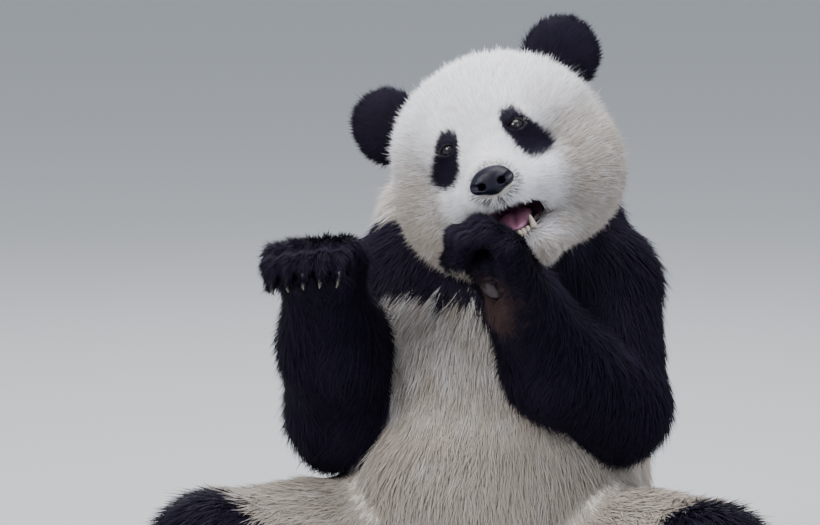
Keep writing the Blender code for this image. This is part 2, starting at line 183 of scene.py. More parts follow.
def rotation(angle: float, axis: str) -> Matrix:
    """A turn of so many degrees about one axis."""
    return Matrix.Rotation(math.radians(angle), 4, axis)


# --- Masses ---


@dataclass(frozen=True)
class Oval:
    """An ellipsoid, turned about X if need be."""

    centre: Triple
    radii: Triple
    tilt: float = 0.0

    def box(self) -> Array:
        """Its lowest and highest corner, for any tilt."""
        size = np.array(self.radii) if not self.tilt else np.full(3, max(self.radii))
        return np.array((self.centre - size, self.centre + size))

    def distance(self, points: Array) -> Array:
        """About how far points are outside: k (k - 1) / |p / r^2|, where k = |p / r|.

        Args:
            points: Places, (n, 3).

        Returns:
            Distances, (n,).
        """
        tilt = np.array(Matrix.Rotation(math.radians(self.tilt), 3, "X"))
        local = (points - np.array(self.centre)) @ tilt
        scaled = local / np.array(self.radii)
        size = lengths(scaled)
        slope = lengths(scaled / np.array(self.radii))
        return size * (size - 1.0) / np.maximum(slope, 1e-6)


@dataclass(frozen=True)
class Limb:
    """A rounded bar whose radius runs evenly from one end to the other."""

    start: Triple
    end: Triple
    start_radius: float
    end_radius: float

    def box(self) -> Array:
        """Its lowest and highest corner."""
        ends = np.array((self.start, self.end))
        radii = np.array((self.start_radius, self.end_radius))[:, None]
        return np.array(((ends - radii).min(axis=0), (ends + radii).max(axis=0)))

    def distance(self, points: Array) -> Array:
        """How far points are outside: |p - q| - r(q), with q the nearest place on the axis.

        Args:
            points: Places, (n, 3).

        Returns:
            Distances, (n,).
        """
        start = np.array(self.start)
        axis = np.array(self.end) - start
        along = np.clip((points - start) @ axis / (axis @ axis), 0.0, 1.0)
        nearest = start + along[:, None] * axis
        radius = self.start_radius + (self.end_radius - self.start_radius) * along
        return lengths(points - nearest) - radius


Mass = Oval | Limb


def mirrored(centre: Triple, radii: Triple) -> list[Oval]:
    """An oval and its twin across the middle plane."""
    across, *rest = centre
    return [Oval((sign * across, *rest), radii) for sign in (-1.0, 1.0)]


def chain(points: list[Triple] | Array, radii: tuple[float, ...]) -> list[Limb]:
    """Bars through a row of points with a radius at each."""
    rows = [tuple(float(v) for v in point) for point in points]
    return [Limb(a, b, ra, rb) for a, b, ra, rb in zip(rows, rows[1:], radii, radii[1:])]


@dataclass(frozen=True)
class Coat:
    """The coat of one part of the body.

    Attributes:
        depth: How far the coat's surface stands over the skin.
        length: A lock's length.
        width: A lock's greatest width.
        lift: How steeply a lock leaves the skin, in degrees.
        density: Locks to a square metre.
        piece: The piece of the coat that holds it.
    """

    depth: float
    length: float
    width: float
    lift: float
    density: float
    piece: str


@dataclass(frozen=True)
class Lie:
    """Which way the coat lies: away from a point, along an axis and down, each with its weight."""

    source: Triple = (0.0, 0.0, 0.0)
    away: float = 0.0
    axis: Triple = (0.0, 0.0, 1.0)
    along: float = 0.0
    sag: float = 0.0


@dataclass(frozen=True)
class Part:
    """One part of the body: its masses in their own frame, and the coat on it."""

    name: str
    masses: tuple[Mass, ...]
    blend: float
    coat: Coat
    lie: Lie
    black: float
    place: Place = field(default_factory=Place)

    @cached_property
    def ball(self) -> tuple[Array, float]:
        """A ball round all the masses, in the part's frame."""
        boxes = np.array([mass.box() for mass in self.masses])
        low, high = boxes[:, 0].min(axis=0), boxes[:, 1].max(axis=0)
        return (low + high) / 2.0, float(np.linalg.norm(high - low)) / 2.0

    def distance(self, points: Array) -> Array:
        """How far points of the model are outside the part's masses, blended together.

        Far off, the distance to a ball round the masses does, as no blend reaches there.

        Args:
            points: Places, (n, 3).

        Returns:
            Distances, (n,).
        """
        local = self.place.inwards(points)
        middle, radius = self.ball
        total = lengths(local - middle) - radius
        near = total < FAR
        if near.any():
            local = local[near]
            found = self.masses[0].distance(local)
            for mass in self.masses[1:]:
                found = smooth_min(found, mass.distance(local), self.blend)
            total[near] = found
        return total

    def flow(self, points: Array) -> Array:
        """The way the coat lies at points of the model, not yet laid on the skin.

        Args:
            points: Places, (n, 3).

        Returns:
            Directions, (n, 3).
        """
        lie = self.lie
        local = self.place.inwards(points)
        away = unit(local - np.array(lie.source)) * lie.away
        along = unit(np.array(lie.axis)) * lie.along
        return self.place.turned(away + along) + np.array((0.0, 0.0, -lie.sag))


# --- The pose ---


def by_side(left: object, right: object) -> dict[Side, object]:
    """A dataclass field that holds a value for each side."""
    return field(default_factory=lambda: {Side.LEFT: left, Side.RIGHT: right})


@dataclass(frozen=True)
class Pose:
    """Where the head, limbs and feet are. These are the sizes that the solids were built to."""

    head: Place = field(
        default_factory=lambda: Place.of(
            Matrix.Translation((0.028, -0.120, 0.714))
            @ rotation(4, "Z")
            @ rotation(-6, "X")
            @ rotation(-21.5, "Y")
        )
    )
    jaw_hinge: Triple = (0.0, 0.0, -0.060)
    jaw_open: float = 12.5
    shoulder: dict[Side, Triple] = by_side((0.135, 0.000, 0.522), (-0.128, 0.010, 0.505))
    elbow: dict[Side, Triple] = by_side((0.172, -0.072, 0.375), (-0.188, -0.085, 0.352))
    forearm: dict[Side, Triple] = by_side((0.118, -0.175, 0.440), (-0.187, -0.165, 0.455))
    wrist: dict[Side, Triple] = by_side((0.086, -0.272, 0.545), (-0.186, -0.245, 0.560))
    palm: dict[Side, Triple] = by_side((0.050, -0.312, 0.596), (-0.184, -0.300, 0.580))
    digit_row: dict[Side, Triple] = by_side((0.006, -0.0205, 0.003), (0.0222, 0.0, 0.0032))
    digit_bends: dict[Side, tuple[Triple, ...]] = by_side(
        ((0.070, -0.330, 0.622), (0.046, -0.338, 0.641), (0.018, -0.340, 0.631), (0.010, -0.338, 0.604)),
        ((-0.184, -0.290, 0.592), (-0.184, -0.318, 0.603), (-0.184, -0.342, 0.594), (-0.184, -0.350, 0.579)),
    )
    digit_setback: tuple[float, ...] = (0.010, 0.003, 0.0, 0.003, 0.011)
    hip: dict[Side, Triple] = by_side((0.115, -0.030, 0.142), (-0.115, -0.030, 0.142))
    knee: dict[Side, Triple] = by_side((0.322, -0.240, 0.180), (-0.318, -0.260, 0.172))
    ankle: dict[Side, Triple] = by_side((0.318, -0.440, 0.108), (-0.316, -0.460, 0.106))
    heel_forward: float = 0.050
    heel_height: float = 0.044
    toe_gap: float = 0.0240
    toe_rise: float = 0.122
    toe_arch: float = 0.0038
    toe_length: float = 0.027
    sole_lean: dict[Side, float] = by_side(16.0, 19.0)
    sole_spread: dict[Side, float] = by_side(15.0, -17.0)
    sole_turn: dict[Side, float] = by_side(10.0, -12.0)
    ear_place: dict[Side, Triple] = by_side((0.119, 0.030, 0.094), (-0.130, 0.034, 0.086))
    ear_lean: float = 52.0
    ear_turn: float = 16.0

    def head_matrix(self) -> Matrix:
        """The head's place as a 4 x 4 matrix."""
        whole = np.eye(4)
        whole[:3, :3], whole[:3, 3] = self.head.turn, self.head.shift
        return Matrix(whole.tolist())

    def jaw(self) -> Place:
        """The lower jaw's place, swung open about its hinge."""
        hinge = Matrix.Translation(self.jaw_hinge)
        return Place.of(self.head_matrix() @ hinge @ rotation(self.jaw_open, "X") @ hinge.inverted())

    def ear(self, side: Side) -> Place:
        """An ear's place: its middle is the origin and its rim is towards +Z."""
        turn = rotation(side.sign * self.ear_turn, "Z") @ rotation(side.sign * self.ear_lean, "Y")
        return Place.of(self.head_matrix() @ Matrix.Translation(self.ear_place[side]) @ turn)

    def sole(self, side: Side) -> Place:
        """A hind foot's place: its origin is in the heel, the sole faces -Y and the toes +Z.

        Args:
            side: Which side.

        Returns:
            The frame.
        """
        heel = Vector(self.ankle[side]) + Vector((0.0, -self.heel_forward, 0.0))
        heel.z = self.heel_height
        turn = rotation(self.sole_turn[side], "Z") @ rotation(self.sole_spread[side], "Y")
        return Place.of(Matrix.Translation(heel) @ turn @ rotation(-self.sole_lean[side], "X"))

    def digit(self, side: Side, number: int) -> Array:
        """A forepaw digit's knuckle, two bends and tip; 0 is the inner digit and 4 the outer."""
        bends = np.array(self.digit_bends[side])
        back = unit(bends[0] - bends[1]) * self.digit_setback[number]
        return bends + np.array(self.digit_row[side]) * (number - MIDDLE_DIGIT) + back

    def toe(self, number: int) -> tuple[Array, Array]:
        """A hind toe's root and tip in the sole's frame.

        Args:
            number: Which digit, from the inner one.

        Returns:
            (root, tip).
        """
        across = (number - MIDDLE_DIGIT) * self.toe_gap
        rise = self.toe_rise - self.toe_arch * (number - MIDDLE_DIGIT) ** 2
        tip = (across * 1.08, -0.008, rise + self.toe_length)
        return np.array((across, 0.002, rise)), np.array(tip)


# --- The body ---


@dataclass
class Anatomy:
    """The whole animal as one smooth field of distances, with the coat's facts at every point."""

    pose: Pose = field(default_factory=Pose)
    share_width: float = 0.015
    head_reach: float = 0.26
    eye_reach: float = 0.020
    eye_centre: Triple = (0.0455, -0.1165, 0.022)
    eye_radius: float = 0.0125
    eye_gaze: Triple = (0.26, -1.0, 0.02)
    lid_thickness: float = 0.0026
    lid_width: float = 0.0134
    lid_rise: float = 0.0072
    lid_fall: float = 0.0058
    lid_slope: float = -8.0
    mouth: Oval = Oval((0.0, -0.101, -0.0825), (0.040, 0.105, 0.0258), 3.5)
    lip_groove: Limb = Limb((0, -0.186, -0.056), (0, -0.170, -0.086), 0.0022, 0.0022)
    bare_nose: Oval = Oval((0.0, -0.190, -0.036), (0.030, 0.020, 0.020))
    sooty_nose: Oval = Oval((0.0, -0.188, -0.036), (0.030, 0.020, 0.019))
    patch_shift: tuple[float, float] = (0.0055, -0.0140)
    patch_lean: tuple[float, float] = (0.35, 0.937)
    patch_length: float = 0.0392
    patch_width: float = 0.0184
    brown_centre: Triple = (0.058, -0.322, 0.545)
    wrist_spot: Triple = (0.052, -0.330, 0.556)
    wrist_oval: Oval = Oval((0.0, 0.0, 0.0), (0.0125, 0.0150, 0.0062))
    sole_ovals: tuple[Oval, ...] = (
        Oval((0.0, -0.040, 0.083), (0.048, 0.014, 0.024)),
        Oval((0.0, -0.044, 0.018), (0.022, 0.012, 0.024)),
    )
    toe_pad: Triple = (0.0098, 0.0075, 0.0125)
    parts: dict[str, Part] = field(default_factory=dict)

    def __post_init__(self) -> None:
        """Builds the parts, in the order in which they are joined."""
        for part in (*self.core(), *self.head(), *self.legs()):
            self.parts[part.name] = part

    def core(self) -> list[Part]:
        """The trunk, the neck and the tail.

        Returns:
            The parts.
        """
        trunk = (
            Oval((0, 0.055, 0.168), (0.218, 0.188, 0.182)),
            Oval((0, -0.045, 0.250), (0.208, 0.180, 0.185)),
            Oval((0, 0.068, 0.260), (0.212, 0.182, 0.190)),
            Oval((0, 0.062, 0.370), (0.196, 0.164, 0.170)),
            Oval((0, -0.010, 0.400), (0.190, 0.162, 0.170)),
            Oval((0.105, 0.022, 0.510), (0.105, 0.118, 0.116)),
            Oval((-0.100, 0.022, 0.496), (0.103, 0.118, 0.114)),
            Oval((0, 0.048, 0.480), (0.170, 0.146, 0.142)),
            Oval((0, -0.040, 0.480), (0.130, 0.120, 0.100)),
            Oval((0.088, 0.060, 0.585), (0.090, 0.090, 0.085)),
        )
        nape = tuple(float(v) for v in self.pose.head.outwards((0.0, 0.058, -0.030)))
        neck = (
            Limb((0.0, 0.050, 0.535), nape, 0.136, 0.124),
            Oval((-0.025, 0.075, 0.600), (0.155, 0.118, 0.100)),
        )
        tail = (Limb((0.0, 0.205, 0.066), (0.008, 0.290, 0.038), 0.052, 0.040),)
        down = Lie(axis=(0.0, 0.0, -1.0), along=1.0, source=(0.0, 0.0, 0.45), away=0.35)
        off_neck = Lie(axis=(0.0, 0.5, -1.0), along=1.0, source=(0.0, 0.0, 0.72), away=0.5)
        off_rump = Lie(axis=(0.0, 1.0, -0.3), along=1.0, sag=0.2)
        return [
            Part("trunk", trunk, 0.034, Coat(0.020, 0.042, 0.0019, 12, 134e3, "trunk"), down, 0.0),
            Part("neck", neck, 0.03, Coat(0.014, 0.036, 0.0020, 19, 170e3, "neck"), off_neck, 0.0),
            Part("tail", tail, 0.03, Coat(0.018, 0.044, 0.0022, 13, 128e3, "trunk"), off_rump, 0.0),
        ]

    def head(self) -> list[Part]:
        """The skull, muzzle, lower jaw and ears.

        Returns:
            The parts.
        """
        skull = (
            Oval((0, 0.004, 0.010), (0.142, 0.136, 0.122)),
            Oval((0, 0.055, 0.000), (0.147, 0.092, 0.112)),
            Oval((0, 0.000, -0.030), (0.151, 0.118, 0.100)),
            Oval((0, -0.052, 0.028), (0.098, 0.084, 0.080)),
            *mirrored((0.064, 0.000, -0.052), (0.089, 0.104, 0.091)),
        )
        muzzle = (
            Limb((0, -0.075, -0.012), (0, -0.142, -0.036), 0.060, 0.040),
            Oval((0, -0.138, -0.052), (0.052, 0.052, 0.036)),
            *mirrored((0.038, -0.096, -0.050), (0.044, 0.055, 0.040)),
        )
        jaw = [Limb((0, -0.040, -0.098), (0, -0.106, -0.106), 0.048, 0.036)]
        for sign in (-1, 1):
            jaw.append(Limb((sign * 0.055, -0.005, -0.088), (sign * 0.018, -0.104, -0.102), 0.055, 0.033))
        ear = (
            Oval((0, 0, 0), (0.056, 0.024, 0.057)),
            Oval((0, 0.006, -0.030), (0.045, 0.026, 0.036)),
        )
        place = self.pose.head
        off_nose = Lie(source=(0.0, -0.170, -0.050), away=1.0)
        off_tip = Lie(source=(0.0, -0.215, -0.045), away=1.0)
        off_lips = Lie(source=(0.0, -0.160, -0.050), away=1.0, sag=0.5)
        off_head = Lie(source=(0.0, 0.0, -0.060), away=1.0, axis=(0.0, 0.0, 1.0), along=0.2)
        on_skull = Coat(0.013, 0.026, 0.0015, 34, 480e3, "head")
        on_muzzle = Coat(0.0035, 0.0085, 0.0011, 22, 1000e3, "face")
        on_jaw = Coat(0.0075, 0.016, 0.0013, 26, 800e3, "face")
        on_ear = Coat(0.0105, 0.013, 0.0013, 30, 600e3, "ears")
        found = [
            Part("skull", skull, 0.016, on_skull, off_nose, 0.0, place),
            Part("muzzle", muzzle, 0.014, on_muzzle, off_tip, 0.0, place),
            Part("jaw", tuple(jaw), 0.014, on_jaw, off_lips, 0.0, self.pose.jaw()),
        ]
        for side in Side:
            found.append(Part(f"ear_{side}", ear, 0.01, on_ear, off_head, 1.0, self.pose.ear(side)))
        return found

    def legs(self) -> list[Part]:
        """The four legs, each as an upper part, a lower part and a paw."""
        return [part for side in Side for leg in (self.foreleg, self.hindleg) for part in leg(side)]

    def foreleg(self, side: Side) -> list[Part]:
        """One foreleg: the coat runs down it, and hangs from the raised forearm.

        Args:
            side: Which side.

        Returns:
            The parts.
        """
        pose = self.pose
        shoulder, elbow, middle, wrist = (
            np.array(joint[side]) for joint in (pose.shoulder, pose.elbow, pose.forearm, pose.wrist)
        )
        digits = [pose.digit(side, number) for number in DIGITS]
        middle_digit = digits[MIDDLE_DIGIT]
        row = np.array(pose.digit_row[side])
        paw = []
        for points in digits:
            root = wrist + (points[0] - wrist) * 0.12 + (points[0] - middle_digit[0]) * 0.35
            paw += chain([root, points[0]], (0.038, 0.0235))
            paw += chain(points, (0.021, 0.0195, 0.0175, 0.0140))
        for step in (-1, 1):
            paw += chain([wrist, np.array(pose.palm[side]) + row * step], (0.040, 0.026))
        downwards = tuple(elbow - shoulder)
        upwards = tuple(wrist - elbow)
        onwards = tuple(middle_digit[1] - wrist)
        above = tuple(wrist + ((0.03, 0.0, 0.05) if side is Side.LEFT else (0.0, 0.01, 0.07)))
        upper_arm = tuple(chain([shoulder, elbow], (0.101, 0.084)))
        forearm = tuple(chain([elbow, middle, wrist], (0.080, 0.074, 0.056)))
        on_arm = Coat(0.017, 0.040, 0.0021, 14, 175e3, f"arm_{side}")
        on_forearm = Coat(0.014, 0.034, 0.0020, 15, 180e3, f"arm_{side}")
        on_paw = Coat(0.0055, 0.0155, 0.0015, 14, 380e3, "forepaws")
        down_arm = Lie(axis=downwards, along=1.0, sag=0.3)
        up_forearm = Lie(axis=upwards, along=0.45, sag=0.9)
        over_paw = Lie(axis=onwards, along=0.25, source=above, away=1.0, sag=0.7)
        return [
            Part(f"upper_arm_{side}", upper_arm, 0.03, on_arm, down_arm, 1.0),
            Part(f"forearm_{side}", forearm, 0.03, on_forearm, up_forearm, 1.0),
            Part(f"forepaw_{side}", tuple(paw), 0.007, on_paw, over_paw, 1.0),
        ]

    def hindleg(self, side: Side) -> list[Part]:
        """One hind leg, stretched forwards with its foot on the heel.

        Args:
            side: Which side.

        Returns:
            The parts.
        """
        pose = self.pose
        hip, knee, ankle = (np.array(joint[side]) for joint in (pose.hip, pose.knee, pose.ankle))
        foot = [Limb((0, 0.004, 0.0), (0, 0.004, 0.070), 0.052, 0.046)]
        for number in DIGITS:
            root, tip = pose.toe(number)
            foot += chain([(root[0] * 0.6, 0.006, 0.060), root], (0.036, 0.0230))
            foot += chain([root, tip], (0.0220, 0.0170))
        thigh = tuple(chain([hip, knee], (0.145, 0.106)))
        shank = tuple(chain([knee, ankle], (0.099, 0.060)))
        on_thigh = Coat(0.019, 0.046, 0.0025, 13, 90e3, f"leg_{side}")
        on_shank = Coat(0.015, 0.036, 0.0025, 17, 105e3, f"leg_{side}")
        on_paw = Coat(0.006, 0.016, 0.0019, 22, 215e3, "hindpaws")
        down_thigh = Lie(axis=tuple(knee - hip), along=1.0, sag=0.5)
        down_shank = Lie(axis=tuple(ankle - knee), along=1.0, sag=0.5)
        off_heel = Lie(source=(0.0, 0.03, 0.02), away=1.0, axis=(0.0, 0.0, 1.0), along=0.5)
        return [
            Part(f"thigh_{side}", thigh, 0.03, on_thigh, down_thigh, 0.0),
            Part(f"shank_{side}", shank, 0.03, on_shank, down_shank, 1.0),
            Part(f"hindpaw_{side}", tuple(foot), 0.008, on_paw, off_heel, 1.0, pose.sole(side)),
        ]

    # The fields of the whole body

    def distances(self, points: Array) -> dict[str, Array]:
        """How far points are outside each part."""
        return {name: part.distance(points) for name, part in self.parts.items()}

    def shares(self, found: dict[str, Array], width: float | None = None) -> Array:
        """How much each part counts at each point: exp(-d / width), made to sum to one."""
        table = np.stack(list(found.values()), axis=1)
        weights = np.exp(-(table - table.min(axis=1, keepdims=True)) / (width or self.share_width))
        return weights / weights.sum(axis=1, keepdims=True)

    def joined(self, points: Array, found: dict[str, Array]) -> Array:
        """How far points are outside the coat's surface, over all parts blended together.

        Args:
            points: Places, (n, 3).
            found: Distances to each part.

        Returns:
            Distances, (n,).
        """
        whole = smooth_min(found["trunk"], found["neck"], 0.05)
        whole = smooth_min(whole, found["tail"], 0.03)
        face = smooth_min(found["skull"], found["muzzle"], 0.034)
        face = smooth_min(face, found["jaw"], 0.014)
        for side in Side:
            face = smooth_min(face, found[f"ear_{side}"], 0.010)
            leg = smooth_min(found[f"thigh_{side}"], found[f"shank_{side}"], 0.03)
            leg = smooth_min(leg, found[f"hindpaw_{side}"], 0.016)
            whole = smooth_min(whole, leg, 0.03)
        whole = smooth_min(whole, face, 0.03)
        for side in Side:
            arm = smooth_min(found[f"upper_arm_{side}"], found[f"forearm_{side}"], 0.03)
            arm = smooth_min(arm, found[f"forepaw_{side}"], 0.012)
            reach = lengths(points - np.array(self.pose.shoulder[side]))
            whole = smooth_min(whole, arm, 0.003 + 0.030 * (1.0 - smooth_step(0.10, 0.22, reach)))
        return whole

    def depth(self, points: Array, shares: Array) -> Array:
        """How deep the coat is: the parts' depths by their shares, and less round the eyes."""
        depths = shares @ np.array([part.coat.depth for part in self.parts.values()])
        depths = depths * self.face_trim(points)
        return np.minimum(depths, np.maximum(points[:, 2], 0.0) * 0.6 + 0.004)

    def face_trim(self, points: Array) -> Array:
        """How long the coat is on the face, as a part of its full length: shortest at the eyes.

        Args:
            points: Places, (n, 3).

        Returns:
            Factors, (n,).
        """
        local = self.pose.head.inwards(points)
        folded = np.stack((np.abs(local[:, 0]), local[:, 1], local[:, 2]), axis=1)
        to_eye = lengths(folded - np.array(self.eye_centre))
        bridge = lengths(local - np.array((0.0, -0.135, 0.010)))
        at_eyes = 0.30 + 0.70 * smooth_step(0.016, 0.060, to_eye)
        at_bridge = 0.45 + 0.55 * smooth_step(0.03, 0.10, bridge)
        return np.minimum(at_eyes, at_bridge)

    def eye_frame(self, side: Side) -> tuple[Array, Array]:
        """An eye's centre and axes: along the lids, up, and out along the gaze, in the head's frame.

        Args:
            side: Which side.

        Returns:
            (centre, axes by rows).
        """
        flip = np.array((side.sign, 1.0, 1.0))
        gaze = unit(np.array(self.eye_gaze) * flip)
        slope = math.radians(self.lid_slope)
        along = np.array((side.sign * math.cos(slope), 0.0, math.sin(slope)))
        along = unit(along - gaze * (along @ gaze))
        up = np.cross(gaze, along)
        up = up * np.sign(up[2])
        return np.array(self.eye_centre) * flip, np.stack((along, up, gaze))

    def lid_gap(self, local: Array, side: Side) -> Array:
        """How far points of the head are outside an eye's almond opening, seen along its gaze.

        Args:
            local: Places in the head's frame, (n, 3).
            side: Which side.

        Returns:
            Distances, less than 0 inside the opening.
        """
        centre, axes = self.eye_frame(side)
        seen = (local - centre) @ axes.T
        span = 1.0 - (seen[:, 0] / self.lid_width) ** 2
        edge = np.where(seen[:, 1] > 0.0, self.lid_rise, self.lid_fall)
        outside = np.abs(seen[:, 1]) - edge * span
        slope = np.sqrt(1.0 + (2.0 * edge * seen[:, 0] / self.lid_width**2) ** 2)
        return np.where(seen[:, 2] > 0.0, outside / slope, 0.05)

    def outer(self, points: Array, found: dict[str, Array]) -> Array:
        """How far points are outside the skin before the face is worked into it."""
        return self.joined(points, found) + self.depth(points, self.shares(found))

    def skin(self, points: Array) -> Array:
        """How far points are outside the skin, with the lids, lips and mouth worked into it.

        Args:
            points: Places, (n, 3).

        Returns:
            Distances, (n,).
        """
        found = self.distances(points)
        surface = self.outer(points, found)
        local = self.pose.head.inwards(points)
        near = lengths(local) < self.head_reach
        if near.any():
            surface[near] = self.carve_face(local[near], surface[near])
            for side in Side:
                for name in (f"forearm_{side}", f"forepaw_{side}"):
                    limb = found[name][near] + self.parts[name].coat.depth
                    surface[near] = np.minimum(surface[near], limb)
        return surface

    def carve_face(self, local: Array, surface: Array) -> Array:
        """Opens the mouth, and raises the lids round the eyes with their almond openings.

        Args:
            local: Places in the head's frame, (n, 3).
            surface: Distances before that.

        Returns:
            Distances after it.
        """
        surface = smooth_max(surface, -self.mouth.distance(local), 0.004)
        surface = smooth_max(surface, -self.lip_groove.distance(local), 0.004)
        for side in Side:
            centre, _ = self.eye_frame(side)
            reach = lengths(local - centre)
            lids = reach - self.eye_radius - self.lid_thickness
            rim = 0.0009 * np.exp(-((self.lid_gap(local, side) - 0.0012) / 0.0012) ** 2)
            surface = smooth_min(surface, lids - rim, 0.010)
            opening = np.maximum(self.lid_gap(local, side), self.eye_radius - 0.0030 - reach)
            surface = smooth_max(surface, -opening, 0.0010)
        return surface

    def slopes(self, points: Array, step: float = 0.0004) -> tuple[Array, Array]:
        """The skin's distance and its gradient, from four samples at the corners of a tetrahedron."""
        corners = np.array(((1, -1, -1), (-1, -1, 1), (-1, 1, -1), (1, 1, 1)), float)
        values = np.stack([self.skin(points + corner * step) for corner in corners], axis=1)
        return values.mean(axis=1), values @ corners / (4.0 * step)

    def settle(self, corners: Array, rounds: int, reach: float) -> Array:
        """Moves corners onto the true surface by p - d grad / |grad|^2, and flattens them on the floor.

        Args:
            corners: Places, (n, 3).
            rounds: How often.
            reach: The longest step.

        Returns:
            The corners, moved.
        """
        for _ in range(rounds):
            values, slopes = self.slopes(corners)
            square = np.maximum((slopes * slopes).sum(axis=1), 0.2)
            step = slopes * (values / square)[:, None]
            length = np.linalg.norm(step, axis=1, keepdims=True)
            corners = corners - step * np.minimum(1.0, reach / np.maximum(length, 1e-9))
            corners[:, 2] = np.maximum(corners[:, 2], 0.0)
        return corners

    # The markings

    def blackness(self, points: Array, shares: Array) -> Array:
        """Where the coat is black, from 0 to 1: ears, eye patches, forelegs, shoulders, hind legs.

        Args:
            points: Places, (n, 3).
            shares: Each part's share at each place.

        Returns:
            Blackness, (n,).
        """
        wave = ripple(points, 0.045, 7)
        share = dict(zip(self.parts, shares.T))
        black = shares @ np.array([part.black for part in self.parts.values()])
        x, y, z = points.T
        chest = 0.519 + 0.10 * np.maximum(-x, 0.0) - 0.60 * np.maximum(x, 0.0)
        back = 0.505 - 0.10 * smooth_step(0.02, 0.20, np.abs(x)) + 0.035 * smooth_step(0.0, 0.14, y)
        front = smooth_step(0.02, -0.08, y)
        ridge = chest * front + back * (1.0 - front) + 0.010 * wave[:, 1]
        top = 0.640 + 0.18 * np.clip(x, -0.16, 0.16) + 0.008 * wave[:, 2]
        band = smooth_step(-0.006, 0.006, z - ridge) * smooth_step(-0.006, 0.006, top - z)
        black = black + band * smooth_step(0.15, 0.40, share["trunk"] + share["neck"])
        for side in Side:
            hip, knee = np.array(self.pose.hip[side]), np.array(self.pose.knee[side])
            along = (points - hip) @ (knee - hip) / ((knee - hip) @ (knee - hip))
            black = black + smooth_step(0.93, 1.03, along + 0.05 * wave[:, 1]) * share[f"thigh_{side}"]
        black = smooth_step(0.42, 0.58, black + 0.05 * wave[:, 0])
        return np.maximum(black, self.eye_patch(points))

    def soot(self, points: Array) -> Array:
        """How much of the hair is dark where it is speckled: close round the nose and the lips.

        Args:
            points: Places, (n, 3).

        Returns:
            Chances, (n,).
        """
        local = self.pose.head.inwards(points)
        nose = self.sooty_nose.distance(local)
        lips = self.mouth.distance(local)
        by_nose = 0.55 * smooth_step(0.014, 0.001, nose)
        by_lips = 0.5 * smooth_step(0.006, 0.002, lips)
        return np.maximum(by_nose, by_lips) * (local[:, 1] < -0.07)

    def eye_patch(self, points: Array) -> Array:
        """The two black patches: drops that slope out and down from just over the eyes.

        Args:
            points: Places, (n, 3).

        Returns:
            Blackness, (n,).
        """
        local = self.pose.head.inwards(points)
        wave = 0.0016 * ripple(points, 0.012, 11)[:, 0]
        found = np.zeros(len(points))
        lean, rise = self.patch_lean
        for side in Side:
            out = side.sign
            across = (local[:, 0] - out * (self.eye_centre[0] + self.patch_shift[0])) * out
            up = local[:, 2] - (self.eye_centre[2] + self.patch_shift[1])
            length = across * lean - up * rise
            width = across * rise + up * lean
            wide = self.patch_width + 0.0014 * np.clip(length / 0.03, -1.0, 1.0)
            edge = (np.abs(length) / self.patch_length) ** 2.5 + (np.abs(width) / wide) ** 2.5
            edge = edge ** (1.0 / 2.5)
            inside = smooth_step(-0.0020, 0.0020, (1.0 - edge) * 0.018 + wave)
            found = np.maximum(found, inside * (local[:, 1] < -0.03))
        return found

    def stain(self, points: Array, shares: Array, black: Array) -> Array:
        """How buff the pale coat is, most at cheeks and under the body, and how brown the black is. The buff
        on the body is partly real soiling and partly painted shade, most low down; under the jaw it is
        painted shade.

        Args:
            points: Places, (n, 3).
            shares: Each part's share at each place.
            black: Blackness at each place.

        Returns:
            Buff staining with painted shade in it, from 0 to 1.
        """
        wave = ripple(points, 0.09, 3)
        fine = ripple(points, 0.018, 5)
        local = self.pose.head.inwards(points)
        share = dict(zip(self.parts, shares.T))
        head = share["skull"] + share["jaw"] + share["muzzle"]
        cheek = smooth_step(0.034, 0.076, np.abs(local[:, 0])) * smooth_step(0.080, -0.035, local[:, 2])
        cheek = np.maximum(cheek, 0.8 * smooth_step(-0.03, -0.09, local[:, 2]))
        cheek = cheek * smooth_step(-0.148, -0.080, local[:, 1])
        # painted shade: the coat under the jaw and chin is made buff, for the shadow beneath the chin
        cheek = np.maximum(cheek, 0.95 * smooth_step(-0.100, -0.132, local[:, 2]))
        # the pale body coat is buff, partly real soiling and partly painted shade, and more so low down, as
        # painted shade under the belly
        body = 0.82 + 0.2 * wave[:, 0] + 0.3 * smooth_step(0.46, 0.32, points[:, 2])
        buff = head * cheek * (1.0 + 0.40 * fine[:, 0]) + (1.0 - head) * body
        buff = buff + 0.15 * fine[:, 1] + 0.08 * wave[:, 1]
        wrist = lengths(points - np.array(self.brown_centre))
        brown = 0.42 * smooth_step(0.056, 0.020, wrist + 0.016 * fine[:, 0])
        return np.clip(buff, 0.0, 1.0) * (1.0 - black) + brown * black

    def bare(self, points: Array) -> Array:
        """Where no hair grows, from 0 to 1: the lid rims, lips, mouth, nose, soles and seat.

        Args:
            points: Places, (n, 3).

        Returns:
            Bareness, (n,).
        """
        local = self.pose.head.inwards(points)
        found = smooth_step(0.0028, 0.0012, self.mouth.distance(local))
        found = np.maximum(found, smooth_step(0.002, -0.002, self.bare_nose.distance(local)))
        for side in Side:
            centre, _ = self.eye_frame(side)
            close = lengths(local - centre) < self.eye_reach
            found = np.maximum(found, close * smooth_step(0.0018, 0.0008, self.lid_gap(local, side)))
            found = np.maximum(found, self.pad_cover(points, side))
        return np.maximum(found, points[:, 2] < 0.004)

    def pad_cover(self, points: Array, side: Side) -> Array:
        """Where one side's bare pads are, from 0 to 1."""
        pads = self.sole_pads(side) + self.wrist_pads(side)
        gaps = [oval.distance(frame.inwards(points)) for frame, oval in pads]
        return smooth_step(0.0035, 0.0005, np.min(gaps, axis=0))

    def sole_pads(self, side: Side) -> list[tuple[Place, Oval]]:
        """One hind foot's seven bare pads, under the ball, heel and toes: each a frame and an oval.

        Args:
            side: Which side.

        Returns:
            The pads.
        """
        sole = self.pose.sole(side)
        found = [(sole, oval) for oval in self.sole_ovals]
        for number in DIGITS:
            root, tip = self.pose.toe(number)
            middle = root + (tip - root) * 0.62
            centre = (float(middle[0]), float(middle[1]) - 0.0175, float(middle[2]))
            found.append((sole, Oval(centre, self.toe_pad)))
        return found

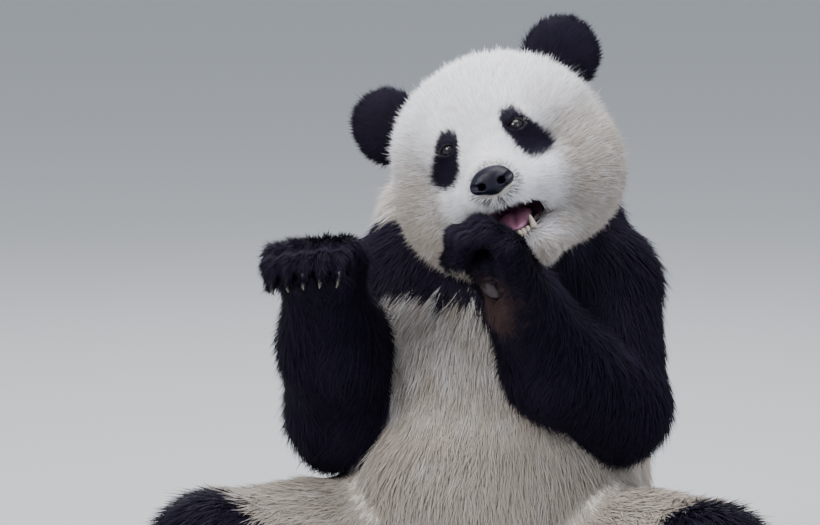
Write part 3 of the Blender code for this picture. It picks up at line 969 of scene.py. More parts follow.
    def wrist_pads(self, side: Side) -> list[tuple[Place, Oval]]:
        """The bare pad under the left wrist, in a frame with its +Z out of the skin; none on the right.

        Args:
            side: Which side.

        Returns:
            The frame and the oval, or nothing.
        """
        if side is Side.RIGHT:
            return []
        spot = self.settle(np.array([self.wrist_spot]), 8, 0.004)
        out = unit(self.slopes(spot)[1])[0]
        across = unit(np.cross(np.array((0.0, 0.0, 1.0)), out))
        turn = np.stack((across, np.cross(out, across), out), axis=1)
        return [(Place(turn, spot[0]), self.wrist_oval)]


# --- Finishes ---


class Slot(Enum):
    """The material slots."""

    WHITE = "white_coat"
    BLACK = "black_coat"
    LEATHER = "nose_leather"
    HORN = "claw_horn"
    PINK = "tongue_pink"


class Nodes:
    """A material being built: adds nodes and links them by name."""

    def __init__(self, name: str) -> None:
        """Starts a material with its Principled shader and output.

        Args:
            name: The material's name.
        """
        self.material = bpy.data.materials.new(name)
        self.material.use_nodes = True
        self.tree = self.material.node_tree
        self.shader = self.tree.nodes["Principled BSDF"]

    def add(self, kind: str, **settings: object) -> bpy.types.Node:
        """Adds a node of a kind, with its settings.

        Args:
            kind: The node's type.
            settings: Its settings by name.

        Returns:
            The node.
        """
        node = self.tree.nodes.new(kind)
        for name, value in settings.items():
            setattr(node, name, value)
        return node

    def link(self, source: Socket, target: Socket) -> None:
        """Joins an output to an input."""
        self.tree.links.new(source, target)

    def number(self, name: str) -> Socket:
        """The value of a mesh attribute."""
        return self.add("ShaderNodeAttribute", attribute_name=name).outputs["Fac"]

    def places(self) -> Socket:
        """The object's own coordinates."""
        return self.add("ShaderNodeTexCoord").outputs["Object"]

    def output(self, kind: str, result: str, inputs: dict, **settings: object) -> Socket:
        """Adds a node with its inputs filled in.

        Args:
            kind: The node's type.
            result: The output that is wanted.
            inputs: A value or another node's output for each input, by its name or number.
            settings: Its settings by name.

        Returns:
            The output.
        """
        node = self.add(kind, **settings)
        for name, value in inputs.items():
            if isinstance(value, Socket):
                self.link(value, node.inputs[name])
            else:
                node.inputs[name].default_value = value
        return node.outputs[result]

    def noise(self, scale: float, detail: float = 3.0) -> Socket:
        """Noise on the object's own coordinates."""
        inputs = {"Vector": self.places(), "Scale": scale, "Detail": detail}
        return self.output("ShaderNodeTexNoise", "Fac", inputs)

    def cells(self, scale: float) -> Socket:
        """The distance to the middle of the nearest of many small cells."""
        inputs = {"Vector": self.places(), "Scale": scale}
        return self.output("ShaderNodeTexVoronoi", "Distance", inputs, feature="F1")

    def ranged(self, value: Socket, low: float, high: float) -> Socket:
        """A value of 0 to 1 brought to a range."""
        return self.output("ShaderNodeMapRange", "Result", {"Value": value, "To Min": low, "To Max": high})

    def product(self, first: Socket, second: Socket) -> Socket:
        """Two values multiplied."""
        return self.output("ShaderNodeMath", "Value", {0: first, 1: second}, operation="MULTIPLY")

    def scaled(self, colour: Socket, amount: Socket) -> Socket:
        """A colour made lighter or darker by a value."""
        inputs = {0: colour, "Scale": amount}
        return self.output("ShaderNodeVectorMath", "Vector", inputs, operation="SCALE")

    def mixed(self, amount: Socket, first: object, second: object) -> Socket:
        """Two colours mixed, each a colour or the output of a node.

        Args:
            amount: How much there is of the second.
            first: One colour.
            second: The other.

        Returns:
            The mixed colour.
        """
        node = self.add("ShaderNodeMix", data_type="RGBA")
        self.link(amount, node.inputs["Factor"])
        for name, value in (("A", first), ("B", second)):
            target = next(i for i in node.inputs if i.name == name and i.type == "RGBA")
            if isinstance(value, tuple):
                target.default_value = (*value, 1.0)
            else:
                self.link(value, target)
        return next(o for o in node.outputs if o.type == "RGBA")

    def bump(self, height: Socket, strength: float, distance: float) -> None:
        """Raises the surface by a height."""
        inputs = {"Height": height, "Strength": strength, "Distance": distance}
        self.feed(Normal=self.output("ShaderNodeBump", "Normal", inputs))

    def set(self, **values: float | tuple) -> None:
        """Sets the shader's own values, with underscores for the spaces in their names."""
        for name, value in values.items():
            self.shader.inputs[name.replace("_", " ")].default_value = value

    def feed(self, **sources: Socket) -> None:
        """Feeds the shader's inputs from other nodes, named in the same way."""
        for name, source in sources.items():
            self.link(source, self.shader.inputs[name.replace("_", " ")])


@dataclass(frozen=True)
class FurFinish:
    """The coat: pale, buff and black hair by the mesh's marks; the buff is partly painted shade, and the
    pale hair is darker towards each lock's root as painted shade.
    """

    pale: Triple = (0.890, 0.895, 0.955)
    buff: Triple = (0.43, 0.375, 0.325)
    black: Triple = (0.0050, 0.0038, 0.0088)
    black_light: Triple = (0.0115, 0.0086, 0.0200)
    brown: Triple = (0.115, 0.066, 0.050)
    sheen: Triple = (0.84, 0.80, 1.0)

    def make(self) -> Material:
        """The finish as a material.

        Returns:
            The material.
        """
        nodes = Nodes("coat")
        # the buff mixed in here is real staining at the cheeks and partly painted shade on the body and
        # under the jaw
        stained = nodes.mixed(nodes.number("stain"), self.pale, self.buff)
        shade = nodes.ranged(nodes.number("shade"), 0.76, 1.06)
        # painted shade: the pale hair darkens towards each lock's root and lightens a little at the tip, as
        # if the locks shaded one another
        depth = nodes.ranged(nodes.number("along"), 0.68, 1.02)
        pale = nodes.scaled(stained, nodes.product(shade, depth))
        black = nodes.mixed(nodes.number("shade"), self.black, self.black_light)
        black = nodes.mixed(nodes.number("stain"), black, self.brown)
        nodes.feed(Base_Color=nodes.mixed(nodes.number("black"), pale, black))
        nodes.feed(Roughness=nodes.ranged(nodes.number("black"), 0.72, 0.58))
        nodes.set(Specular_IOR_Level=0.11, Specular_Tint=(*self.sheen, 1.0))
        return nodes.material


@dataclass(frozen=True)
class SkinFinish:
    """The skin under the coat: dull grey-pink or black by the mesh's marks, wet in the mouth."""

    pale: Triple = (0.58, 0.53, 0.49)
    black: Triple = (0.0040, 0.0037, 0.0085)
    mouth: Triple = (0.44, 0.27, 0.37)
    mouth_dark: Triple = (0.32, 0.15, 0.23)

    def make(self) -> Material:
        """The finish as a material.

        Returns:
            The material.
        """
        nodes = Nodes("skin")
        base = nodes.mixed(nodes.number("black"), self.pale, self.black)
        base = nodes.scaled(base, nodes.ranged(nodes.noise(420.0), 0.75, 1.15))
        mouth = nodes.mixed(nodes.noise(90.0), self.mouth, self.mouth_dark)
        nodes.feed(Base_Color=nodes.mixed(nodes.number("mouth"), base, mouth))
        nodes.feed(Roughness=nodes.ranged(nodes.number("mouth"), 0.62, 0.28))
        nodes.feed(Specular_IOR_Level=nodes.ranged(nodes.number("mouth"), 0.05, 0.5))
        nodes.bump(nodes.noise(900.0, 4.0), 0.35, 0.0006)
        return nodes.material


@dataclass(frozen=True)
class LeatherFinish:
    """Bare dark leathery skin, pebbled: the nose and the pads."""

    name: str = "nose_skin"
    colour: Triple = (0.0026, 0.0024, 0.0075)
    light: Triple = (0.0062, 0.0060, 0.0160)
    roughness: float = 0.33
    grain: float = 620.0
    relief: float = 0.0005

    def make(self) -> Material:
        """The finish as a material.

        Returns:
            The material.
        """
        nodes = Nodes(self.name)
        nodes.feed(Base_Color=nodes.mixed(nodes.noise(240.0, 4.0), self.colour, self.light))
        nodes.bump(nodes.cells(self.grain), 0.5, self.relief)
        nodes.set(Roughness=self.roughness, Specular_IOR_Level=0.21)
        return nodes.material


SOLE_LEATHER = LeatherFinish(
    name="pad_skin",
    colour=(0.020, 0.018, 0.020),
    light=(0.065, 0.056, 0.055),
    roughness=0.6,
    grain=380.0,
    relief=0.0009,
)
WRIST_LEATHER = LeatherFinish(
    name="wrist_pad_skin",
    colour=(0.040, 0.031, 0.034),
    light=(0.080, 0.066, 0.072),
    roughness=0.75,
    grain=420.0,
    relief=0.0006,
)


@dataclass(frozen=True)
class EyeFinish:
    """A wet eye: a dark pupil in a brown iris with fine rays, in a dusky white."""

    stops: tuple[tuple[float, Triple], ...] = (
        (0.00, (0.002, 0.002, 0.003)),
        (0.21, (0.002, 0.002, 0.003)),
        (0.25, (0.010, 0.006, 0.005)),
        (0.40, (0.017, 0.010, 0.009)),
        (0.47, (0.006, 0.005, 0.006)),
        (0.56, (0.009, 0.008, 0.010)),
        (1.00, (0.014, 0.012, 0.014)),
    )
    film: Triple = (0.75, 0.82, 1.0)

    def make(self) -> Material:
        """The finish as a material, which reads the angle from the gaze as "ring".

        Returns:
            The material.
        """
        nodes = Nodes("eye")
        ramp = nodes.add("ShaderNodeValToRGB")
        elements = ramp.color_ramp.elements
        elements.remove(elements[0])
        elements[0].position = self.stops[0][0]
        elements[0].color = (*self.stops[0][1], 1.0)
        for position, colour in self.stops[1:]:
            elements.new(position).color = (*colour, 1.0)
        nodes.link(nodes.number("ring"), ramp.inputs["Fac"])
        rays = nodes.ranged(nodes.noise(700.0, 5.0), 0.6, 1.4)
        nodes.feed(Base_Color=nodes.scaled(ramp.outputs["Color"], rays))
        nodes.set(Roughness=0.25, IOR=1.36)
        nodes.set(Coat_Weight=0.45, Coat_Roughness=0.16, Coat_Tint=(*self.film, 1.0))
        return nodes.material


@dataclass(frozen=True)
class HornFinish:
    """Claws: brown-grey horn with streaks along it, paler towards the tip."""

    root: tuple[Triple, Triple] = ((0.030, 0.024, 0.022), (0.080, 0.065, 0.054))
    tip: tuple[Triple, Triple] = ((0.10, 0.088, 0.075), (0.20, 0.175, 0.145))

    def make(self) -> Material:
        """The finish as a material, which reads the place along the claw as "along".

        Returns:
            The material.
        """
        nodes = Nodes("claw_horn")
        streaks = nodes.noise(260.0, 4.0)
        root, tip = nodes.mixed(streaks, *self.root), nodes.mixed(streaks, *self.tip)
        nodes.feed(Base_Color=nodes.mixed(nodes.number("along"), root, tip))
        nodes.bump(streaks, 0.25, 0.0004)
        nodes.set(Roughness=0.30, Specular_IOR_Level=0.5, Coat_Weight=0.2, Coat_Roughness=0.2)
        return nodes.material


@dataclass(frozen=True)
class ToothFinish:
    """Teeth: ivory enamel, yellower towards the gum."""

    ivory: tuple[Triple, Triple] = ((0.62, 0.54, 0.40), (0.76, 0.70, 0.58))
    gum: Triple = (0.42, 0.31, 0.19)

    def make(self) -> Material:
        """The finish as a material, which reads the place along the tooth as "along".

        Returns:
            The material.
        """
        nodes = Nodes("enamel")
        ivory = nodes.mixed(nodes.noise(500.0), *self.ivory)
        nodes.feed(Base_Color=nodes.mixed(nodes.number("along"), self.gum, ivory))
        nodes.set(Roughness=0.22, Coat_Weight=0.4, Coat_Roughness=0.1)
        return nodes.material


@dataclass(frozen=True)
class TongueFinish:
    """The tongue: wet, pink to purple, with small bumps."""

    purple: Triple = (0.40, 0.16, 0.25)
    pink: Triple = (0.54, 0.26, 0.36)

    def make(self) -> Material:
        """The finish as a material.

        Returns:
            The material.
        """
        nodes = Nodes("tongue")
        nodes.feed(Base_Color=nodes.mixed(nodes.noise(160.0, 4.0), self.purple, self.pink))
        nodes.bump(nodes.noise(1300.0, 3.0), 0.5, 0.0005)
        nodes.set(Roughness=0.30, Coat_Weight=0.5, Coat_Roughness=0.15)
        return nodes.material


# --- Meshes ---


def new_piece(name: str, corners: Array, faces: Array, material: Material) -> Piece:
    """Makes a smooth-shaded object of faces that all have the same number of corners.

    Args:
        name: The object's name.
        corners: Places, (n, 3).
        faces: Corners of each face, (m, 3) or (m, 4), counter-clockwise from outside.
        material: Its finish.

    Returns:
        The object, linked to the scene at the origin.
    """
    mesh = bpy.data.meshes.new(name)
    count, size = faces.shape
    mesh.vertices.add(len(corners))
    mesh.vertices.foreach_set("co", np.ascontiguousarray(corners, dtype=np.float32).ravel())
    mesh.loops.add(count * size)
    mesh.loops.foreach_set("vertex_index", np.ascontiguousarray(faces, dtype=np.int32).ravel())
    mesh.polygons.add(count)
    mesh.polygons.foreach_set("loop_start", np.arange(0, count * size, size, dtype=np.int32))
    mesh.update(calc_edges=True)
    mesh.polygons.foreach_set("use_smooth", np.ones(count, dtype=bool))
    mesh.materials.append(material)
    piece = bpy.data.objects.new(name, mesh)
    bpy.context.collection.objects.link(piece)
    return piece


def mark(piece: Piece, **values: Array) -> None:
    """Stores numbers on a piece's vertices for its finish to read."""
    for name, numbers in values.items():
        layer = piece.data.attributes.new(name, "FLOAT", "POINT")
        layer.data.foreach_set("value", np.ascontiguousarray(numbers, dtype=np.float32))


def read_corners(mesh: bpy.types.Mesh) -> Array:
    """A mesh's corners, (n, 3)."""
    corners = np.empty(len(mesh.vertices) * 3, np.float32)
    mesh.vertices.foreach_get("co", corners)
    return corners.reshape(-1, 3).astype(float)


def turn_outwards(piece: Piece) -> None:
    """Turns every face of a piece's closed shells to face outwards.

    Args:
        piece: The piece.
    """
    work = bmesh.new()
    work.from_mesh(piece.data)
    bmesh.ops.recalc_face_normals(work, faces=work.faces)
    work.to_mesh(piece.data)
    work.free()


def grid_faces(rows: int, columns: int) -> Array:
    """The quads of a grid that closes round its columns.

    Args:
        rows: Rings.
        columns: Corners in a ring.

    Returns:
        Quads, (m, 4).
    """
    row, column = np.meshgrid(np.arange(rows - 1), np.arange(columns), indexing="ij")
    after = (column + 1) % columns
    start, above = row * columns, (row + 1) * columns
    quads = np.stack((start + column, start + after, above + after, above + column), axis=-1)
    return quads.reshape(-1, 4)


def zero_surface(values: Array, cell: float, low: Array) -> Mesh:
    """The surface where a grid of values is zero.

    Args:
        values: Distances at the grid's points.
        cell: The grid's spacing.
        low: Its lowest corner.

    Returns:
        (corners, quads).
    """
    grid = openvdb.FloatGrid(1.0)
    grid.copyFromArray(np.ascontiguousarray(values, dtype=np.float32))
    corners, quads = grid.convertToQuads(isovalue=0.0)
    return corners * cell + low, quads


def joined_meshes(shapes: list[Mesh]) -> Mesh:
    """Several (corners, faces) as one.

    Args:
        shapes: The meshes.

    Returns:
        One mesh.
    """
    start, corners, faces = 0, [], []
    for points, quads in shapes:
        corners.append(points)
        faces.append(quads + start)
        start += len(points)
    return np.concatenate(corners), np.concatenate(faces)


def tube(path: Array, radii: Array, flat: float, up: Array, sides: int) -> Mesh:
    """A closed tapering tube of oval section along a path.

    Each ring is p(t) + r(t) (cos a * s + flat sin a * u), where s and u are square to the path and
    u leans towards up. Both ends close in a last ring of almost no size.

    Args:
        path: Middles of the rings, (n, 3).
        radii: Half-widths, (n,).
        flat: Height of each section over its width.
        up: The way that the sections' height runs.
        sides: Corners in a ring.

    Returns:
        (corners, quads).
    """
    ahead = unit(np.gradient(path, axis=0))
    across = unit(np.cross(ahead, up))
    over = unit(np.cross(across, ahead))
    angle = np.linspace(0.0, 2.0 * math.pi, sides, endpoint=False)
    ring = across[:, None] * np.cos(angle)[None, :, None]
    ring = ring + over[:, None] * (np.sin(angle)[None, :, None] * flat)
    corners = path[:, None] + ring * radii[:, None, None]
    return corners.reshape(-1, 3), grid_faces(len(path), sides)


def ball_ways(rows: int, columns: int, gap: float) -> tuple[Array, Array]:
    """Directions (sin p cos t, sin p sin t, cos p) in rings about +Z.

    Args:
        rows: Rings from pole to pole.
        columns: Directions in a ring.
        gap: The angle that is left at each pole.

    Returns:
        (each ring's angle p, (rows, 1), and the directions, (rows, columns, 3)).
    """
    polar = np.linspace(gap, math.pi - gap, rows)[:, None]
    turn = np.linspace(0.0, 2.0 * math.pi, columns, endpoint=False)[None, :]
    across, over = np.sin(polar) * np.cos(turn), np.sin(polar) * np.sin(turn)
    return polar, np.stack((across, over, np.cos(polar) * np.ones_like(turn)), axis=-1)


def dome(oval: Oval, shape: float, rows: int = 14, columns: int = 22) -> Mesh:
    """A closed pillow: the super-ellipsoid |x/a|^n + |y/b|^n + |z/c|^n = 1.

    Args:
        oval: Its middle and half sizes.
        shape: n, 2 for an ellipsoid and more for a fuller pillow.
        rows: Rings from pole to pole.
        columns: Corners in a ring.

    Returns:
        (corners, quads).
    """
    _, way = ball_ways(rows, columns, 0.002)
    size = (np.abs(way) ** shape).sum(axis=-1, keepdims=True) ** (-1.0 / shape)
    corners = np.array(oval.centre) + way * size * np.array(oval.radii)
    return corners.reshape(-1, 3), grid_faces(rows, columns)[:, ::-1]


# --- Skin ---


@dataclass
class Skin:
    """The whole animal's skin: one closed mesh, finest at the eyes and mouth."""

    anatomy: Anatomy
    cell: float = 0.0080
    skip: int = 4
    low: Triple = (-0.46, -0.60, -0.03)
    high: Triple = (0.47, 0.37, 0.94)
    coat_guess: float = 0.012
    near: float = 0.048
    chunk: int = 150000
    face_middle: Triple = (0.0, -0.07, -0.03)
    face_zone: float = 0.135
    ear_zone: float = 0.060
    paw_zone: float = 0.085
    eye_zones: tuple[float, float] = (0.024, 0.0185)
    lip_zones: tuple[float, float] = (0.012, 0.004)

    def sampled(self) -> Array:
        """The skin's distance on a grid, worked out in full only near the surface.

        Returns:
            The distances, in three dimensions.
        """
        wide = self.cell * self.skip
        counts = [int(round((b - a) / self.cell / self.skip)) for a, b in zip(self.low, self.high)]
        rough = [a + wide * (np.arange(n) + 0.5 - 0.5 / self.skip) for a, n in zip(self.low, counts)]
        points = np.stack(np.meshgrid(*rough, indexing="ij"), axis=-1).reshape(-1, 3)
        found = self.anatomy.joined(points, self.anatomy.distances(points)).reshape(counts)
        values = found + self.coat_guess
        for axis in range(3):
            values = np.repeat(values, self.skip, axis=axis)
        fine = [a + self.cell * np.arange(n * self.skip) for a, n in zip(self.low, counts)]
        near = np.abs(values) < self.near
        index = np.argwhere(near)
        places = np.stack([fine[axis][index[:, axis]] for axis in range(3)], axis=1)
        values = values.astype(np.float32)
        chunks = np.array_split(places, max(1, len(places) // self.chunk))
        values[near] = np.concatenate([self.anatomy.skin(chunk) for chunk in chunks])
        return values

    def largest_body(self, count: int, faces: Array) -> Array:
        """Which corners are on the body with the most corners.

        Each corner takes the least number among those it shares a face with, over and over.

        Args:
            count: How many corners there are.
            faces: The triangles.

        Returns:
            True for each of its corners, (count,).
        """
        body = np.arange(count)
        ends = np.concatenate((faces[:, :2], faces[:, 1:]))
        while True:
            least = np.minimum(body[ends[:, 0]], body[ends[:, 1]])
            after = body.copy()
            np.minimum.at(after, ends[:, 0], least)
            np.minimum.at(after, ends[:, 1], least)
            after = after[after]
            if np.array_equal(after, body):
                return body == np.bincount(body).argmax()
            body = after

    def surface(self) -> Mesh:
        """The grid's zero surface as triangles, its largest body only.

        Returns:
            (corners, triangles).
        """
        corners, quads = zero_surface(self.sampled(), self.cell, np.array(self.low))
        faces = np.concatenate((quads[:, (0, 1, 2)], quads[:, (0, 2, 3)]))
        keep = self.largest_body(len(corners), faces)
        number = np.cumsum(keep) - 1
        return corners[keep], number[faces[keep[faces[:, 0]]]]

    def coarse_zones(self, corners: Array) -> Array:
        """Which corners are on the face, the ears and the paws.

        Args:
            corners: Places, (n, 3).

        Returns:
            True for each of them.
        """
        pose = self.anatomy.pose
        local = pose.head.inwards(corners)
        found = lengths(local - np.array(self.face_middle)) < self.face_zone
        for side in Side:
            found |= lengths(pose.ear(side).inwards(corners)) < self.ear_zone
            knuckle, toes = np.array(pose.digit_bends[side][1]), pose.sole(side).outwards((0.0, 0.0, 0.11))
            for middle in (knuckle, toes):
                found |= lengths(corners - middle) < self.paw_zone
        return found

    def fine_zones(self, corners: Array, level: int) -> Array:
        """Which corners are at the eyes and the lips, closer in at each level.

        Args:
            corners: Places, (n, 3).
            level: 1 or 2.

        Returns:
            True for each of them.
        """
        local = self.anatomy.pose.head.inwards(corners)
        found = np.zeros(len(corners), dtype=bool)
        eye = np.array(self.anatomy.eye_centre)
        for side in Side:
            to_eye = lengths(local - eye * np.array((side.sign, 1.0, 1.0)))
            found |= to_eye < self.eye_zones[level - 1]
        lips = np.abs(self.anatomy.mouth.distance(local))
        outside = (local[:, 1] < -0.06) & (local[:, 1] > -0.2)
        return found | ((lips < self.lip_zones[level - 1]) & outside)

    def zones(self, corners: Array, level: int) -> Array:
        """Which corners lie where the mesh is cut finer: head and paws, then eyes and lips."""
        return self.fine_zones(corners, level) if level else self.coarse_zones(corners)

    def refine(self, mesh: bpy.types.Mesh, level: int) -> Array:
        """Halves the edges in one level's zones and settles their corners on the skin again.

        Args:
            mesh: The skin's mesh, which it changes.
            level: 0, 1 or 2.

        Returns:
            The mesh's new corners.
        """
        chosen = self.zones(read_corners(mesh), level)
        ends = np.empty(len(mesh.edges) * 2, np.int32)
        mesh.edges.foreach_get("vertices", ends)
        picked = np.flatnonzero(chosen[ends.reshape(-1, 2)].all(axis=1))
        work = bmesh.new()
        work.from_mesh(mesh)
        work.edges.ensure_lookup_table()
        edges = [work.edges[i] for i in picked]
        bmesh.ops.subdivide_edges(work, edges=edges, cuts=1, use_grid_fill=True)
        bmesh.ops.triangulate(work, faces=[face for face in work.faces if len(face.verts) > 3])
        work.to_mesh(mesh)
        work.free()
        corners = read_corners(mesh)
        moved = self.zones(corners, level)
        corners[moved] = self.anatomy.settle(corners[moved], 3, 0.0015 / (level + 1))
        mesh.vertices.foreach_set("co", corners.astype(np.float32).ravel())
        return corners

    def build(self, material: Material) -> Piece:
        """Makes the skin, refines it in three steps and marks its colours.

        Args:
            material: Its finish.

        Returns:
            The skin.
        """
        corners, faces = self.surface()
        log.info("skin grid: %d corners", len(corners))
        corners = self.anatomy.settle(corners, 2, 0.004)
        piece = new_piece("skin", corners, faces, material)
        mesh = piece.data
        for level in range(3):
            corners = self.refine(mesh, level)
        mesh.update()
        mesh.polygons.foreach_set("use_smooth", np.ones(len(mesh.polygons), dtype=bool))
        self.colour(piece, corners)
        return piece

    def colour(self, piece: Piece, corners: Array) -> None:
        """Marks where the skin is black, lips, lids and pads too, with a painted highlight on the lid rims,
        and where it is inside the mouth.

        Args:
            piece: The skin.
            corners: Its corners.
        """
        anatomy = self.anatomy
        found = anatomy.distances(corners)
        black = anatomy.blackness(corners, anatomy.shares(found))
        local = anatomy.pose.head.inwards(corners)
        mouth = anatomy.mouth.distance(local)
        lips = smooth_step(0.0046, 0.0030, mouth)
        inside = smooth_step(-0.0030, -0.0065, anatomy.outer(corners, found))
        inside = inside * smooth_step(0.004, 0.002, mouth)
        for side in Side:
            inside = inside * (found[f"forepaw_{side}"] > 0.0) * (found[f"forearm_{side}"] > 0.0)
        pads = [anatomy.pad_cover(corners, side) for side in Side]
        black = np.maximum.reduce((black, lips, *pads))
        # painted highlight: the black is lightened in a thin ring along each lid rim, as if light caught it
        for side in Side:
            close = lengths(local - anatomy.eye_frame(side)[0]) < anatomy.eye_reach
            rim = np.exp(-(((anatomy.lid_gap(local, side) - 0.0008) / 0.0009) ** 2))
            black = black - 0.10 * close * rim
        mark(piece, black=black, mouth=inside)


# --- Coat ---


@dataclass
class Roots:
    """Where the locks grow, and which way: arrays with one row for each lock."""

    places: Array
    normals: Array
    flow: Array
    shares: Array
    lift: Array
    length: Array
    width: Array

    def only(self, rows: Array) -> "Roots":
        """Some of the roots."""
        return Roots(*(getattr(self, item.name)[rows] for item in fields(self)))


@dataclass
class CoatMaker:
    """Grows the coat on the skin as closed three-sided locks, and parts it into pieces.

    Attributes:
        anatomy: The animal.
        skin: Its skin.
        most: The most locks in a piece.
        sink: How deep a lock is rooted.
        floor_gap: How far the lowest locks are over the floor.
        base: How far in the two lower edges of a lock lie, as a part of half its width.
        ridge: How far out its ridge lies, in the same way.
        soften: How much the locks' normals lean towards the skin's.
        patch: The size of a lock's kite on the map.
        blend: How far the style of one part's coat reaches into the next.
        ruffles: Strength, wavelength and seed of each ruffle in the coat's lie.
        stray: How much each lock strays from it.
        vary: How much lift and length vary from lock to lock.
        shades: The mean and the spread of the locks' lightness.
    """

    anatomy: Anatomy
    skin: Piece
    most: int = 48000
    sink: float = 0.0012
    floor_gap: float = 0.0006
    base: float = 0.35
    ridge: float = 0.8
    soften: float = 2.0
    patch: float = 0.003
    blend: float = 0.024
    ruffles: tuple[tuple[float, float, int], ...] = ((0.22, 0.060, 21), (0.13, 0.014, 22))
    stray: float = 0.13
    vary: float = 0.16
    shades: tuple[float, float] = (0.55, 0.26)

    def skin_arrays(self) -> tuple[Array, Array, Array]:
        """The skin's corners, their normals and its triangles.

        Returns:
            (corners, normals, triangles).
        """
        mesh = self.skin.data
        normals = np.empty(len(mesh.vertices) * 3, np.float32)
        mesh.vertex_normals.foreach_get("vector", normals)
        mesh.calc_loop_triangles()
        faces = np.empty(len(mesh.loop_triangles) * 3, np.int32)
        mesh.loop_triangles.foreach_get("vertices", faces)
        return read_corners(mesh), normals.reshape(-1, 3).astype(float), faces.reshape(-1, 3)

    def scatter(self, source: np.random.Generator, corners: Array, faces: Array) -> tuple[Array, Array]:
        """Scatters roots evenly over the skin by each part's density, but for where it is bare.

        Args:
            source: Where the random numbers come from.
            corners: The skin's corners.
            faces: Its triangles.

        Returns:
            (the corners of each root's triangle, (n, 3), and their weights at the root, (n, 3, 1)).
        """
        anatomy = self.anatomy
        shares = anatomy.shares(anatomy.distances(corners))
        density = shares @ np.array([part.coat.density for part in anatomy.parts.values()])
        density = density * (1.0 - anatomy.bare(corners)) / np.maximum(anatomy.face_trim(corners), 0.45)
        a, b, c = (corners[faces[:, i]] for i in range(3))
        area = lengths(np.cross(b - a, c - a)) / 2.0
        total = np.cumsum(area * density[faces].mean(axis=1))
        count = int(total[-1])
        picked = np.searchsorted(total, (np.arange(count) + source.random(count)) / count * total[-1])
        picked = faces[np.minimum(picked, len(faces) - 1)]
        first, second = np.sqrt(source.random(count)), source.random(count)
        weights = np.stack((1.0 - first, first * (1.0 - second), first * second), axis=1)[:, :, None]
        places = (corners[picked] * weights).sum(axis=1)
        keep = anatomy.bare(places) < source.random(count) * 0.6 + 0.2
        return picked[keep], weights[keep]

    def flow(self, source: np.random.Generator, places: Array, shares: Array) -> Array:
        """The way each lock lies, ruffled at two sizes and lock by lock, but not yet laid on the skin.

        Args:
            source: Where the random numbers come from.
            places: The roots.
            shares: Each part's share at each root.

        Returns:
            Directions, (n, 3).
        """
        flow = np.zeros_like(places)
        for number, part in enumerate(self.anatomy.parts.values()):
            flow += part.flow(places) * shares[:, number : number + 1]
        spread = source.normal(size=(3, len(places)))
        flow = unit(flow)
        for strength, scale, seed in self.ruffles:
            flow = flow + strength * ripple(places, scale, seed)
        return flow + self.stray * spread.T

    def roots(self) -> Roots:
        """Scatters the roots and finds each lock's way, lift, length and width.

        Returns:
            The roots.
        """
        anatomy = self.anatomy
        corners, normals, faces = self.skin_arrays()
        source = np.random.default_rng(SEED)
        picked, weights = self.scatter(source, corners, faces)
        found = anatomy.distances(corners)
        shares, blend = anatomy.shares(found), anatomy.shares(found, self.blend)
        places = (corners[picked] * weights).sum(axis=1)
        normals = unit((normals[picked] * weights).sum(axis=1))
        shares = (shares[picked] * weights).sum(axis=1)
        blend = (blend[picked] * weights).sum(axis=1)
        trim = anatomy.face_trim(places)
        coats = [part.coat for part in anatomy.parts.values()]
        styles = np.array([(coat.length, coat.width, math.radians(coat.lift)) for coat in coats])
        length, width, lift = (blend @ styles).T
        flow = self.flow(source, places, shares)
        flow = unit(flow - normals * (flow * normals).sum(axis=1, keepdims=True))
        lift = lift * np.exp(self.vary * source.normal(size=len(places)))
        lift = np.clip(lift + 0.06 * ripple(places, 0.020, 23)[:, 0], 0.08, 1.2)
        length = length * trim * np.exp(self.vary * source.normal(size=len(places)))
        width = width * np.maximum(trim, 0.6) * np.exp(0.14 * source.normal(size=len(places)))
        return Roots(places, normals, flow, shares, lift, length, width)

    def lock_corners(self, roots: Roots) -> tuple[Array, Array]:
        """The four corners of each lock, three round its root and its tip, and their normals.

        The tip is p + L (cos a F + sin a N), with F the way the coat lies and N the skin's normal. The
        ridge of each lock is outwards, and normals lean towards the skin's, as light scatters in a coat.
        A lock that meets the floor lies on it.

        Args:
            roots: Their roots.

        Returns:
            (corners, (n, 4, 3), and their normals).
        """
        ahead = roots.flow * np.cos(roots.lift)[:, None] + roots.normals * np.sin(roots.lift)[:, None]
        across = np.cross(roots.flow, roots.normals)
        ridge = unit(np.cross(across, ahead))
        half = roots.width[:, None] * 0.5
        start = roots.places - roots.normals * self.sink
        low = ridge * self.base
        ring = [(across - low, half), (ridge, half * self.ridge), (-across - low, half)]
        rows = [start + way * size for way, size in ring] + [start + roots.length[:, None] * ahead]
        ways = [unit(way + roots.normals * self.soften) for way, _ in ring]
        ways.append(unit(ridge * 0.5 + roots.normals * self.soften))
        corners = np.stack(rows, axis=1)
        corners[:, :, 2] = np.maximum(corners[:, :, 2], self.floor_gap)
        return corners, np.stack(ways, axis=1)

    def lock_faces(self, corners: Array) -> Array:
        """The four triangles of every lock, turned to face outwards.

        Args:
            corners: Their corners, (n, 4, 3).

        Returns:
            Triangles, (4n, 3).
        """
        one = np.array(((0, 1, 3), (1, 2, 3), (2, 0, 3), (0, 2, 1)))
        a, b, c = (corners[0, one[0, i]] for i in range(3))
        if np.dot(np.cross(b - a, c - a), (a + b + c) / 3.0 - corners[0].mean(axis=0)) < 0.0:
            one = one[:, ::-1]
        return (one[None] + 4 * np.arange(len(corners))[:, None, None]).reshape(-1, 3)

